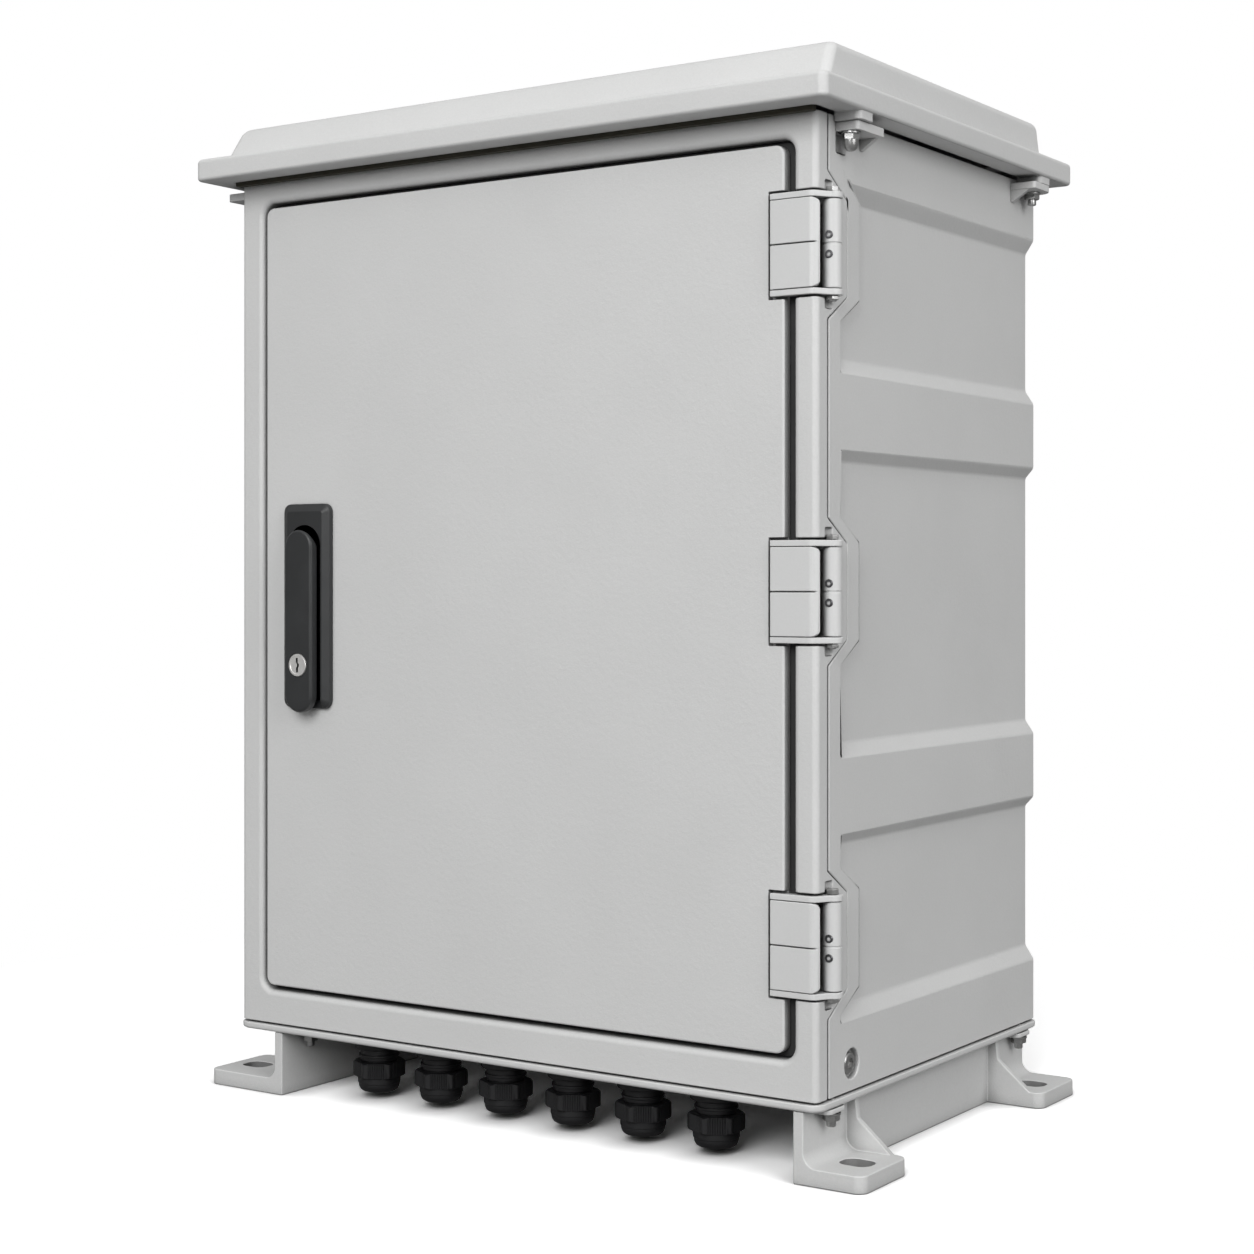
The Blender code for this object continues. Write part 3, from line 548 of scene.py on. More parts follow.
def galvanised(name, rgb):
    """Zinc spangle on sheet steel."""
    mat, tree, shader, where = blank(name, 1.0)
    flake = add(tree, "ShaderNodeTexVoronoi", {"Vector": where, "Scale": 130.0})
    tone = add(tree, "ShaderNodeSeparateColor", {"Color": flake.outputs["Color"]}).outputs["Red"]
    dress(tree, shader, tint(tree, tone, shade(rgb, 0.80), shade(rgb, 1.12)),
          between(tree, tone, 0.34, 0.52, 0.0, 1.0),
          ((grain(tree, where, 420.0, 2.0), 0.12, 0.05),))
    return mat


def lock_face(name):
    """Nickelled plug with rings left by the lathe, centred on the lock."""
    mat, tree, shader, where = blank(name, 0.8)
    shift = (-HANDLE_X * MM, 0.0, -KEY_Z * MM)
    centred = add(tree, "ShaderNodeMapping", {"Vector": where, "Location": shift}).outputs["Vector"]
    part = add(tree, "ShaderNodeSeparateXYZ", {"Vector": centred})
    flat = add(tree, "ShaderNodeCombineXYZ", {"X": part.outputs["X"], "Z": part.outputs["Z"]})
    far = add(tree, "ShaderNodeVectorMath", {0: flat.outputs[0]}, operation="LENGTH").outputs["Value"]
    wave = number(tree, "SINE", number(tree, "MULTIPLY", far, 9000.0))
    stain = between(tree, grain(tree, where, 240.0, 3.0), 0.0, 1.0)
    dress(tree, shader, tint(tree, stain, (0.86, 0.85, 0.83), (0.95, 0.94, 0.92)),
          between(tree, wave, 0.36, 0.50, -1.0, 1.0), ((wave, 0.08, 0.03),))
    return mat


FINISH = {}


def finishes():
    """Every material of the object by a plain name, made on first use."""
    if FINISH:
        return FINISH
    look = bpy.context.scene.enclosure_finishes
    peel = look.peel
    FINISH.update(
        shell=moulded("shell_moulding", look.shell, peel),
        lid=moulded("canopy_moulding", look.shell, peel * 0.9),
        hinge=moulded("hinge_paint", look.hinge, peel * 0.35, (0.34, 0.46), 0.03),
        handle=black_plastic("handle_black_satin", look.handle, (0.36, 0.50)),
        gland=black_plastic("gland_nylon", look.gland, (0.38, 0.52)),
        steel=bright_metal("stainless_fixings", look.steel, (0.24, 0.38)),
        dark=bright_metal("blackened_screws", look.screw, (0.26, 0.40)),
        brass=bright_metal("earth_brass", (0.70, 0.52, 0.24), (0.28, 0.42), (14.0, 1.0, 1.0)),
        zinc=galvanised("zinc_sheet", look.zinc),
        nickel=lock_face("lock_nickel"),
        hollow=black_plastic("key_slot_shadow", (0.010, 0.010, 0.010), (0.7, 0.9)),
        # Painted shade: a darker copy of the shell colour for the walls inside the foot slots, where shade
        # falls.
        grime=moulded("slot_grime", shade(look.shell, 0.34), peel, (0.6, 0.8)),
        terminal=moulded("terminal_grey", (0.30, 0.31, 0.32), 0.2, (0.42, 0.55), 0.04),
        # Painted shade: near-black strip colour for the dark band in the gap under the canopy's front rim.
        foam=black_plastic("canopy_foam", (0.040, 0.038, 0.024), (0.75, 0.90)),
        rubber=black_plastic("seal_rubber", (0.022, 0.022, 0.022), (0.62, 0.80)),
    )
    return FINISH


# ---- cabinet shapes ----
def side_profile():
    inner = HALF_W - 8.0
    points = []
    for foot_low, edge_low, edge_high, foot_high in BANDS:
        if foot_low is None:
            points.append((HALF_W, SEAM))
        else:
            points += [(inner, foot_low), (HALF_W, edge_low)]
        if foot_high is None:
            points.append((HALF_W, TOP))
        else:
            points += [(HALF_W, edge_high), (inner, foot_high)]
    return points


def hinge_outline(centre, near, far, half_near, half_far):
    return ((near, centre - half_near), (far, centre - half_far),
            (far, centre + half_far), (near, centre + half_near))


def housing_shape(size):
    right = side_profile()
    shell = prism(right + [(-x, z) for x, z in reversed(right)], "Y", LIP_BACK - 1.0, REAR)
    join(shell, box((-HALF_W, HALF_W), (FRAME_BACK + 2.6, LIP_BACK), (SEAM, TOP)))
    inner = HALF_W - 13.0
    for centre in HINGE_Z:
        join(shell, prism(hinge_outline(centre, LIP_BACK - 4.0, -130.0, 60.0, 40.0), "X",
                          inner + 1.0, HALF_W))

    def band_edge(mid, way):
        along = abs(way.y) > 40.0 and abs(way.x) < 1.0 and abs(way.z) < 1.0
        return along and abs(mid.x) > 285.0 and SEAM + 20.0 < mid.z < TOP - 20.0

    roll(shell, size.band_roll / MM, 4, band_edge)

    roll(shell, 2.5, 3, lambda mid, way: mid.x > 299.0 and abs(way.x) < 0.5
         and -150.0 < mid.y < -125.0)
    cut(shell, prism(round_rect((-inner, inner), (SEAM + 6.0, TOP - 6.0), 8.0, 3), "Y",
                     FRONT, REAR - 6.0))
    for centre in HINGE_Z:
        cut(shell, prism(hinge_outline(centre, FRAME_BACK - 1.0, FRONT + 49.0, 59.6, 38.0), "X",
                         inner - 12.0, HALF_W + 5.0))
    cut(shell, prism(round_rect((-225.0, 225.0), (GLAND_Y - 31.0, GLAND_Y + 45.0), 12.0), "Z",
                     SEAM - 5.0, SEAM + 15.0))
    for x, z in PLATE_HOLES:
        join(shell, cylinder(x, z, 11.0, "Y", PLATE_Y[1] + GAP, REAR - 4.0, 32))
        cut(shell, cylinder(x, z, SCREW_HOLE, "Y", PLATE_Y[1] - 1.0, REAR - 8.0, 20))
    for side in SIDES:
        x, y = CANOPY_BOLT[0]
        cut(shell, cylinder(side * x, y, 12.0, "Z", 797.0, 812.7, 64))
        y, z = SIDE_SCREW
        low, high = sorted((side * 294.0, side * 303.0))
        cut(shell, cylinder(y, z, 12.0, "X", low, high))
        low, high = sorted((side * 289.0, side * 295.0))
        cut(shell, cylinder(y, z, SCREW_HOLE, "X", low, high, 20))
    return soften(shell, size.edge_roll / MM, 3)


def ears_shape():
    """The four webbed ears that carry the canopy, two on each side."""
    shapes = []
    for side in SIDES:
        plans = (((-197.0 if side < 0.0 else -170.5), -126.0, 320.0, (0.0, 3.0, 3.0, 0.0), -131.3),
                 (154.0, 194.0, 324.0, (0.0, 3.0, 12.0, 0.0), 154.8))
        for plan, (x, y), (low, high) in zip(plans, CANOPY_BOLT, BRACKET_Z):
            near, far, reach, corners, web_y = plan
            ear = prism([(side * u, v) for u, v in
                         round_rect((HALF_W + 0.05, reach), (near, far), corners)], "Z", low, high)
            web = ((HALF_W + 0.05, 804.0), (HALF_W + 1.6, 804.0), (reach - 4.0, low + 1.0),
                   (HALF_W + 0.05, low + 1.0))
            join(ear, prism([(side * u, v) for u, v in web], "Y", web_y, web_y + 4.5))
            cut(ear, cylinder(side * x, y, BOLT_HOLE, "Z", low - 2.0, high + 2.0, 24))
            shapes.append(soften(ear, 0.5, 2))
    return join(shapes[0], *shapes[1:])


def frame_shape(size):
    roll_r = size.frame_roll / MM
    ring = box((-HALF_W, HALF_W), (FRONT, FRAME_BACK), (SEAM, TOP))
    for side in SIDES:
        corner = [(side * (HALF_W + 2.0), FRONT - 2.0), (side * (HALF_W + 2.0), FRONT + roll_r)]
        corner += [(side * (HALF_W - roll_r + roll_r * cos(radians(a))),
                    FRONT + roll_r - roll_r * sin(radians(a))) for a in range(0, 91, 9)]
        corner.append((side * (HALF_W - roll_r), FRONT - 2.0))
        cut(ring, prism(corner, "Z", SEAM - 5.0, TOP + 5.0))
    join(ring, prism(round_rect((-283.0, 283.0), (SEAM + 9.0, TOP - 9.0), 8.0, 3), "Y",
                     FRAME_BACK - 1.5, -178.0))
    for centre in HINGE_Z:
        join(ring, prism(hinge_outline(centre, FRAME_BACK - 2.0, FRONT + 48.7, 58.8, 37.7), "X",
                         OPEN_X[1] - 3.0, HALF_W))
    cut(ring, prism(round_rect(RETURN_X, RETURN_Z, 6.0, 4), "Y", FRONT - 5.0, -170.0),
        prism(round_rect(OPEN_X, OPEN_Z, 11.0), "Y", FRONT - 5.0, -185.0))

    def opening_edge(mid, way):
        inside = OPEN_X[0] - 1.0 < mid.x < OPEN_X[1] + 1.0 and OPEN_Z[0] - 1.0 < mid.z < OPEN_Z[1] + 1.0
        return mid.y < FRONT + 0.2 and inside

    roll(ring, size.opening_roll / MM, 4, opening_edge)
    for centre in HINGE_Z:
        high = (centre - 41.5, centre + 41.5)
        cut(ring, box((289.0, HALF_W + 5.0), (FRONT - 5.0, FRONT + 31.0), high),
            box((OPEN_X[1] - 4.0, 292.0), (FRONT - 5.0, -190.0), high),
            cylinder(PIN_X, PIN_Y, 6.8, "Z", centre - 49.5, centre + 49.5, 32))
    return soften(ring, size.edge_roll / MM, 3)


def base_shape():
    plate = prism(round_rect((-HALF_W - 3.0, HALF_W + 3.0), (FRONT - 3.0, 212.0), 13.0), "Z",
                  SEAM - 7.4, SEAM - 1.3)
    for k in range(GLAND_COUNT):
        cut(plate, cylinder((k - (GLAND_COUNT - 1) / 2.0) * GLAND_PITCH, GLAND_Y, 16.8, "Z", 40.0, 80.0))
    roll(plate, 3.0, 5, lambda mid, way: mid.z < SEAM - 7.2 and
         (abs(mid.x) > 285.0 or mid.y < -190.0 or mid.y > 198.0))
    return soften(plate, 1.0, 3)


class EnclosureShell(bpy.types.Operator):
    """Build the housing, the door frame and the base rim"""
    bl_idname = "enclosure.shell"
    bl_label = "Shell"

    def execute(self, context):
        size = context.scene.enclosure_sizes
        piece(housing_shape(size), "housing_shell", "shell", "cabinet", "housing")
        piece(ears_shape(), "canopy_ears", "shell", "cabinet", *four_nodes("canopy_bracket"))
        piece(frame_shape(size), "frame_moulding", "shell", "cabinet", "door_frame")
        piece(base_shape(), "base_rim", "shell", "cabinet", "base_plate")
        return {"FINISHED"}


# ---- canopy ----
def roof_outline(offset, z):
    rise = z - FLANGE_Z[1]
    half = 313.5 - 0.12 * rise - offset
    return round_rect((-half, half), (-210.0 + 0.6 * rise + offset, 194.0 - offset),
                      8.0 - min(offset, 4.0))


def canopy_shape(size):
    r = size.flange_roll / MM
    levels = rolled_edge(3.0, FLANGE_Z[0] + 3.0, 18, -1.0)[::-1]
    levels += rolled_edge(r, FLANGE_Z[1] - r, 15)
    shell = loft("Z", [(round_rect((-CANOPY_X + d, CANOPY_X - d), (-CANOPY_Y + d, CANOPY_Y - d),
                                   7.0 - d), z) for d, z in levels])
    r = size.roof_roll / MM
    levels = [(0.0, FLANGE_Z[1] - 2.0), *rolled_edge(r, ROOF_Z - r, 15)]
    join(shell, loft("Z", [(roof_outline(inset, z), z) for inset, z in levels]))
    roll(shell, 4.0, 4, lambda mid, way: abs(mid.z - FLANGE_Z[1]) < 0.3 and abs(mid.x) < 318.0
         and abs(mid.y) < 222.0, 30.0)
    skin = 3.0
    cut(shell, prism(round_rect((-CANOPY_X + skin, CANOPY_X - skin),
                                (-CANOPY_Y + skin, CANOPY_Y - skin), 4.0), "Z",
                     FLANGE_Z[0] + skin, FLANGE_Z[1] - skin))
    levels = (FLANGE_Z[1] - skin - 1.0, ROOF_Z - 3.5)
    cut(shell, loft("Z", [(roof_outline(skin + 0.5, z), z) for z in levels]))
    cut(shell, prism(round_rect((-303.0, 303.0), (-209.0, 213.0), 4.0), "Z",
                     FLANGE_Z[0] - 5.0, FLANGE_Z[0] + skin + 1.0))
    for side in SIDES:
        for (x, y), (low, high) in zip(CANOPY_BOLT, BRACKET_Z):
            pad = round_rect((HALF_W + 0.6, CANOPY_X - 2.5), (y - 12.0, y + 12.0),
                             (0.0, 5.0, 5.0, 0.0))
            join(shell, prism([(side * u, v) for u, v in pad], "Z", high + GAP,
                              FLANGE_Z[0] + skin + 0.5))
            cut(shell, cylinder(side * x, y, BOLT_HOLE, "Z", high - 3.0, FLANGE_Z[0] + 8.0, 24))
    return soften(shell, 0.7, 2, 50.0)


class EnclosureCanopy(bpy.types.Operator):
    """Build the rain canopy"""
    bl_idname = "enclosure.canopy"
    bl_label = "Canopy"

    def execute(self, context):
        piece(canopy_shape(context.scene.enclosure_sizes), "canopy_cover", "lid", "cabinet", "canopy")
        # Painted shade: a dark strip put in the gap under the canopy's front rim, where there is only
        # shade.
        strip = soften(box((-300.0, 300.0), (-208.4, -200.8), (823.6, 829.4)), 0.8, 2)
        piece(strip, "canopy_foam_strip", "foam", "cabinet")
        return {"FINISHED"}


# ---- feet ----
def foot_shape(wall, bolt_x):
    points = [(wall[0], 0.0), (FOOT_OUT, 0.0), (FOOT_OUT, EAR_T)]
    radius = 11.0
    cu, cv = wall[1] + radius, EAR_T + radius
    points += arc(cu, cv, radius, 270, 180, -10) + [(wall[1], RAIL_TOP), (wall[0], RAIL_TOP)]
    rail = box(wall, (FRONT_EAR[0], REAR_EAR[1]), (0.0, RAIL_TOP))
    for ear, gusset, middle in ((FRONT_EAR, FRONT_EAR[1] - 6.0, SLOT_Y[0]),
                                (REAR_EAR, REAR_EAR[0], SLOT_Y[1])):
        join(rail, prism(points, "Y", ear[0], ear[1]))
        web = ((wall[1] - 1.0, 5.0), (FOOT_OUT - 6.0, 5.0), (FOOT_OUT - 12.0, EAR_T),
               (wall[1] + 10.0, 39.0), (wall[1] + 8.0, RAIL_TOP), (wall[1] - 1.0, RAIL_TOP))
        join(rail, prism(web, "Y", gusset, gusset + 6.0))
        for y, sign in ((ear[0], 1.0), (ear[1], -1.0)):
            corner = [(FOOT_OUT + 1.0, y - sign), (FOOT_OUT + 1.0, y + sign * 9.0)]
            corner += [(FOOT_OUT - 9.0 + 9.0 * cos(radians(a)),
                        y + sign * (9.0 - 9.0 * sin(radians(a)))) for a in range(0, 91, 10)]
            corner.append((FOOT_OUT - 9.0, y - sign))
            cut(rail, prism(corner, "Z", -5.0, EAR_T + 5.0))
        slot = round_rect((SLOT_X - 10.0, SLOT_X + 10.0), (middle - 7.0, middle + 7.0), 6.9)
        well = round_rect((SLOT_X - 13.5, SLOT_X + 13.5), (middle - 11.0, middle + 11.0), 9.0)
        cut(rail, prism(slot, "Z", -5.0, 30.0), prism(well, "Z", 2.6, 30.0))
    for y in FOOT_BOLT_Y:
        if bolt_x > wall[1]:
            pad = round_rect((wall[1] - 2.0, bolt_x + 6.5), (y - 14.0, y + 14.0), (0.0, 6.0, 6.0, 0.0))
        else:
            pad = round_rect((bolt_x - 10.0, wall[0] + 2.0), (y - 14.0, y + 14.0), (6.0, 0.0, 0.0, 6.0))
        join(rail, prism(pad, "Z", RAIL_TOP - 4.0, RAIL_TOP))
        cut(rail, cylinder(bolt_x, y, 4.2, "Z", RAIL_TOP - 8.0, RAIL_TOP + 3.0, 24))
    return soften(rail, 1.1, 3)


class EnclosureFeet(bpy.types.Operator):
    """Build the two foot rails"""
    bl_idname = "enclosure.feet"
    bl_label = "Feet"

    def execute(self, context):
        right = foot_shape(RAIL_X, FOOT_BOLT_X[1.0])
        inner = foot_shape(LEFT_RAIL_X, FOOT_BOLT_X[-1.0])
        left = mirrored(inner)
        bpy.data.objects.remove(inner, do_unlink=True)
        for foot, tag in ((right, "right"), (left, "left")):
            piece(foot, "foot_casting_" + tag, "shell", "cabinet", "foot_rail_" + tag)
            # Painted shade: the walls inside the foot slots get the darker shell colour.
            repaint(foot, "grime", lambda c, n: c.z < EAR_T - 0.8 and abs(n.z) < 0.8 and any(
                abs(abs(c.x) - SLOT_X) < 14.0 and abs(c.y - y) < 11.5 for y in SLOT_Y))
        return {"FINISHED"}


# ---- door ----
def door_shape(size):
    back = FRONT + 10.0
    panel = prism(round_rect(DOOR_X, DOOR_Z, 8.0), "Y", FRONT, back)
    roll(panel, size.door_roll / MM, 6, lambda mid, way: mid.y < FRONT + 0.2)
    tray = round_rect((DOOR_X[0] + 16.0, DOOR_X[1] - 18.0), (DOOR_Z[0] + 16.0, DOOR_Z[1] - 16.0), 5.0)
    cut(panel, prism(tray, "Y", FRONT + 3.5, back + 5.0))
    for centre in HINGE_Z:
        cut(panel, box((257.0, 275.0), (FRONT - 2.0, -193.0), (centre - 42.0, centre + 42.0)))
    cut(panel, cylinder(HANDLE_X, SPINDLE_Z, 8.0, "Y", FRONT - 5.0, back))
    return soften(panel, 0.6, 2, 50.0)


class EnclosureDoor(bpy.types.Operator):
    """Build the door leaf"""
    bl_idname = "enclosure.door"
    bl_label = "Door"

    def execute(self, context):
        piece(door_shape(context.scene.enclosure_sizes), "door_leaf_panel", "shell", "door",
              "door_panel")
        return {"FINISHED"}


# ---- hinges ----
def knuckle_shape(centre):
    end = BARREL_H - 0.8
    barrel = turned("Z", PIN_X, PIN_Y, (
        (6.8, centre - BARREL_H), (BARREL_R, centre - end), (BARREL_R, centre - 1.0),
        (6.9, centre - 0.4), (6.9, centre + 0.4), (BARREL_R, centre + 1.0),
        (BARREL_R, centre + end), (6.8, centre + BARREL_H)))
    join(barrel, box((289.3, 300.0), (-179.0, -174.5), (centre - 32.0, centre + 32.0)),
         box((289.3, 292.3), (-185.5, -170.0), (centre - 32.0, centre + 32.0)))
    cut(barrel, cylinder(PIN_X, PIN_Y, PIN_BORE, "Z", centre - 50.0, centre + 50.0, 24))
    return barrel


def strap_shape(centre):
    arm = [(259.5, -202.4), (293.0, -202.4), (296.4, -201.8), (299.0, -200.2), (305.5, -189.2)]
    arm += arc(PIN_X, PIN_Y, 8.4, -60, 180, 12)
    arm += [(293.4, -187.0), (290.0, -191.0), (286.0, -193.3), (259.5, -193.3)]
    low = STRAP_REACH
    leaf = prism(arm, "Z", centre + low, centre + low + STRAP_T)
    join(leaf, box((259.5, 287.0), (-196.5, -193.3), (centre - low - 2.0, centre + low + 2.0)),
         prism(arm, "Z", centre - low - STRAP_T, centre - low))
    cut(leaf, cylinder(PIN_X, PIN_Y, PIN_BORE, "Z", centre - 60.0, centre + 60.0, 24))
    return soften(leaf, 0.7, 3)


def pad_shape(centre):
    """Curled cover in front of the barrel, grooved across the middle."""
    pad = [(260.0, -196.8), (260.0, -203.0), (294.0, -203.0), *arc(294.0, -195.0, 8.0, -80, -17, 9)]
    end = BARREL_H - 0.1
    cover = prism(pad, "Z", centre - end, centre + end)
    common(cover, prism(round_rect((255.0, 301.9), (centre - end, centre + end),
                                   (0.0, 6.5, 6.5, 0.0)), "Y", -210.0, -190.0))
    cut(cover, box((250.0, 310.0), (-210.0, -200.0), (centre - 0.5, centre + 0.5)))
    return soften(cover, 0.7, 3, 50.0)


def pin_shape(centre):
    end = STRAP_REACH + STRAP_T + 0.4
    pin = cylinder(PIN_X, PIN_Y, PIN_R, "Z", centre - end - 1.0, centre + end + 1.0, 32)
    join(pin, cylinder(PIN_X, PIN_Y, 5.4, "Z", centre + end, centre + end + 4.0, 6),
         cylinder(PIN_X, PIN_Y, 5.4, "Z", centre - end - 3.0, centre - end, 6))
    join(pin, cylinder(PIN_X, PIN_Y, PIN_R, "Z", centre - end - 4.0, centre - end - 2.0, 32))
    return soften(pin, 0.35, 2)


def grub_screw():
    screw = spun("Z", ((3.2, -2.5), (3.2, 0.5), (2.7, 1.0), (1.8, 1.0)), 32)
    cut(screw, cylinder(0.0, 0.0, 1.8, "Z", -1.6, 2.0, 6))
    return screw


class EnclosureHinges(bpy.types.Operator):
    """Build the three hinges with their pins and set screws"""
    bl_idname = "enclosure.hinges"
    bl_label = "Hinges"

    def execute(self, context):
        spots = []
        for index, centre in enumerate(HINGE_Z, 1):
            tag = "hinge_%d_" % index
            piece(knuckle_shape(centre), tag + "knuckle", "hinge", "cabinet", tag + "frame_leaf")
            piece(strap_shape(centre), tag + "strap", "hinge", "door", tag + "door_leaf")
            piece(pad_shape(centre), tag + "pad", "hinge", "door", tag + "cover")
            piece(pin_shape(centre), tag + "axle", "steel", "cabinet", tag + "pin")
            for rise in (6.5, -8.5):
                spots.append(((PIN_X + 1.0, PIN_Y - 7.35, centre + rise), (90.0, 0.0, 8.0)))
        piece(at_points(grub_screw(), spots, "dark"), "hinge_set_screws", "dark", "cabinet")
        return {"FINISHED"}


# ---- handle and lock ----
def dish_shape():
    side = (HANDLE_X - 27.0, HANDLE_X + 27.0)
    levels = ((0.0, FRONT - GAP), (0.0, DISH_FRONT + 3.9), (0.3, DISH_FRONT + 3.2),
              (1.0, DISH_FRONT + 2.9), (6.4, DISH_FRONT + 0.3), (7.2, DISH_FRONT))
    dish = loft("Y", [(round_rect((side[0] + d, side[1] - d), (DISH_Z[0] + d, DISH_Z[1] - d),
                                  max(7.5 - d, 2.5)), y) for d, y in levels])
    cut(dish, prism(round_rect((HANDLE_X - 18.4, HANDLE_X + 18.4), (341.0, 513.6),
                               (0.0, 0.0, 18.3, 18.3), 14), "Y", DISH_FRONT - 2.0, -203.4),
        cylinder(HANDLE_X, SPINDLE_Z, 6.5, "Y", -215.0, -195.0))
    return soften(dish, 0.5, 2, 50.0)


def lever_shape():
    left, right = HANDLE_X - 15.5, HANDLE_X + 15.5
    levels = [(0.6, LEVER_BACK), (0.0, LEVER_BACK - 0.6),
              *rolled_edge(2.6, LEVER_FRONT + 2.6, 18, -1.0)]
    bar = loft("Y", [(round_rect((left + d, right - d), (LEVER_Z[0] + d, LEVER_Z[1] - d),
                                 15.49 - d, 14), y) for d, y in levels])
    relief_cut = ((-207.0, SPINDLE_Z - 1.0), (LEVER_BACK, SPINDLE_Z - 1.0),
                  (-217.2, SPINDLE_Z + 18.0), (-207.0, SPINDLE_Z + 18.0))
    cut(bar, prism(relief_cut, "X", left - 2.0, right + 2.0),
        cylinder(TILT_Y, SPINDLE_Z, 4.6, "X", HANDLE_X - 6.5, HANDLE_X + 6.5, 24),
        box((HANDLE_X - 4.2, HANDLE_X + 4.2), (TILT_Y, -206.0), (SPINDLE_Z - 6.0, SPINDLE_Z + 6.0)),
        cylinder(HANDLE_X, KEY_Z, 10.6, "Y", -220.0, -210.4))
    return soften(bar, 0.4, 2, 50.0)


def plug_shape():
    plug = turned("Y", HANDLE_X, KEY_Z, ((10.2, -210.7), (10.2, -217.0), (9.7, -217.6),
                                         (8.2, -217.6), (8.0, -217.2), (0.0, -217.2)))
    slot = [(HANDLE_X + x, KEY_Z + z) for x, z in (
        (-1.3, -6.4), (0.9, -6.4), (0.9, -2.6), (1.9, -1.2), (1.9, 1.0), (0.6, 2.4), (0.6, 6.4),
        (-1.6, 6.4), (-1.6, 2.8), (-0.3, 1.2), (-0.3, -1.0), (-1.3, -2.2))]
    cut(plug, prism(slot, "Y", -219.0, -213.0))
    return plug


class EnclosureHandle(bpy.types.Operator):
    """Build the handle dish, the swing lever and the lock plug"""
    bl_idname = "enclosure.handle"
    bl_label = "Handle"

    def execute(self, context):
        piece(dish_shape(), "handle_dish", "handle", "door", "handle_base")
        piece(lever_shape(), "lever_grip", "handle", "lever", "lever")
        plug = piece(plug_shape(), "lock_plug", "nickel", "key", "key_cylinder")
        repaint(plug, "hollow", lambda c, n: -217.0 < c.y < -212.9
                and abs(c.x - HANDLE_X) < 2.2 and abs(c.z - KEY_Z) < 6.6)
        return {"FINISHED"}


# ---- cable glands ----
def gland_neck():
    """Flange and neck of one gland, on its own centre line."""
    neck = spun("Z", ((15.0, 24.0), (15.0, 33.0), (16.8, 33.6), (16.8, 36.4), (18.2, 36.8),
                      (18.2, 38.6), (16.8, 39.0), (16.8, 43.6), (20.8, 43.8), (21.8, 44.8),
                      (21.8, 49.4), (20.9, 49.8), (20.9, 50.8), (21.8, 51.2), (21.8, 56.3),
                      (16.0, 56.3), (16.0, 82.0)))
    cut(neck, cylinder(0.0, 0.0, 11.0, "Z", 28.0, 90.0, 32))
    return soften(neck, 0.25, 2)


def gland_cap():
    """Ribbed hexagon cap with a domed lower end, on its own centre line."""
    outline = []
    for flat in range(6):
        a, b = (Vector(p) for p in arc(0.0, 0.0, 24.0, 60 * flat + 33, 60 * flat + 93, 60))
        out = ((a + b) / 2.0).normalized()
        outline.append((a.x * 0.985, a.y * 0.985))
        for k in range(1, 24):
            share = k / 24.0
            groove = -0.55 if k % 2 and 4 <= k <= 20 else 0.0
            p = a.lerp(b, share) + out * groove
            outline.append((p.x, p.y))
    cap = prism(outline, "Z", 18.5, 32.4)
    common(cap, spun("Z", ((21.4, 18.2), (24.2, 20.2), (24.2, 30.6), (21.0, 32.8)), 72))
    join(cap, spun("Z", ((12.6, 5.5), (15.0, 5.8), (16.9, 7.0), (18.0, 9.2), (18.4, 10.6),
                         (18.4, 12.6), (19.2, 13.2), (19.2, 19.0)), 72))
    cut(cap, cylinder(0.0, 0.0, 15.7, "Z", 23.6, 40.0),
        cylinder(0.0, 0.0, 11.0, "Z", 0.0, 16.0, 32))
    return soften(cap, 0.3, 1, 60.0)


class EnclosureGlands(bpy.types.Operator):
    """Build the row of cable glands"""
    bl_idname = "enclosure.glands"
    bl_label = "Cable glands"

    def execute(self, context):
        size = context.scene.enclosure_sizes
        for unit, name, node in ((gland_neck, "gland_necks", "body"),
                                 (gland_cap, "gland_caps", "nut")):
            row = in_row(unit(), size.gland_count, size.gland_pitch, (0.0, GLAND_Y, 0.0),
                         "gland")
            piece(row, name, "gland", "cabinet",
                  *("gland_%d_%s" % (k + 1, node) for k in range(GLAND_COUNT)))
        return {"FINISHED"}


# ---- fixings ----
def hexagon(radius, low, high):
    """Hexagon with both faces chamfered, on its own centre line."""
    nut = cylinder(0.0, 0.0, radius, "Z", low, high, 6)
    lean = radius * 0.93
    return common(nut, spun("Z", ((lean, low - 0.01), (radius * 1.01, low + 0.7),
                                  (radius * 1.01, high - 0.7), (lean, high + 0.01))))


def stud_set(nut_face, low, high, head=None, dome=False):
    """Bolt, washer and nut on their own centre line; levels are heights in millimetres."""
    bolt = spun("Z", ((3.2, low), (3.8, low + 0.7), (3.8, high)), 32)
    join(bolt, hexagon(6.9, nut_face - 6.0, nut_face - 1.4),
         spun("Z", ((7.2, nut_face - 1.6), (7.6, nut_face - 1.3), (7.6, nut_face)), 40))
    if head is not None:
        join(bolt, hexagon(7.2, head, head + 5.0))
    if dome:
        join(bolt, spun("Z", ((0.0, nut_face - 15.0), (1.8, nut_face - 14.8), (3.6, nut_face - 13.9),
                              (5.0, nut_face - 12.1), (5.7, nut_face - 9.8),
                              (5.9, nut_face - 5.6)), 40))
    return bolt


def socket_screw():
    screw = spun("X", ((3.0, -8.8), (3.0, -4.5), (8.8, -4.5), (9.0, -4.2), (8.8, -1.9), (8.1, -0.8),
                       (6.6, -0.2), (5.0, 0.0)))
    cut(screw, cylinder(0.0, 0.0, 4.6, "X", -2.8, 1.0, 6))
    return screw


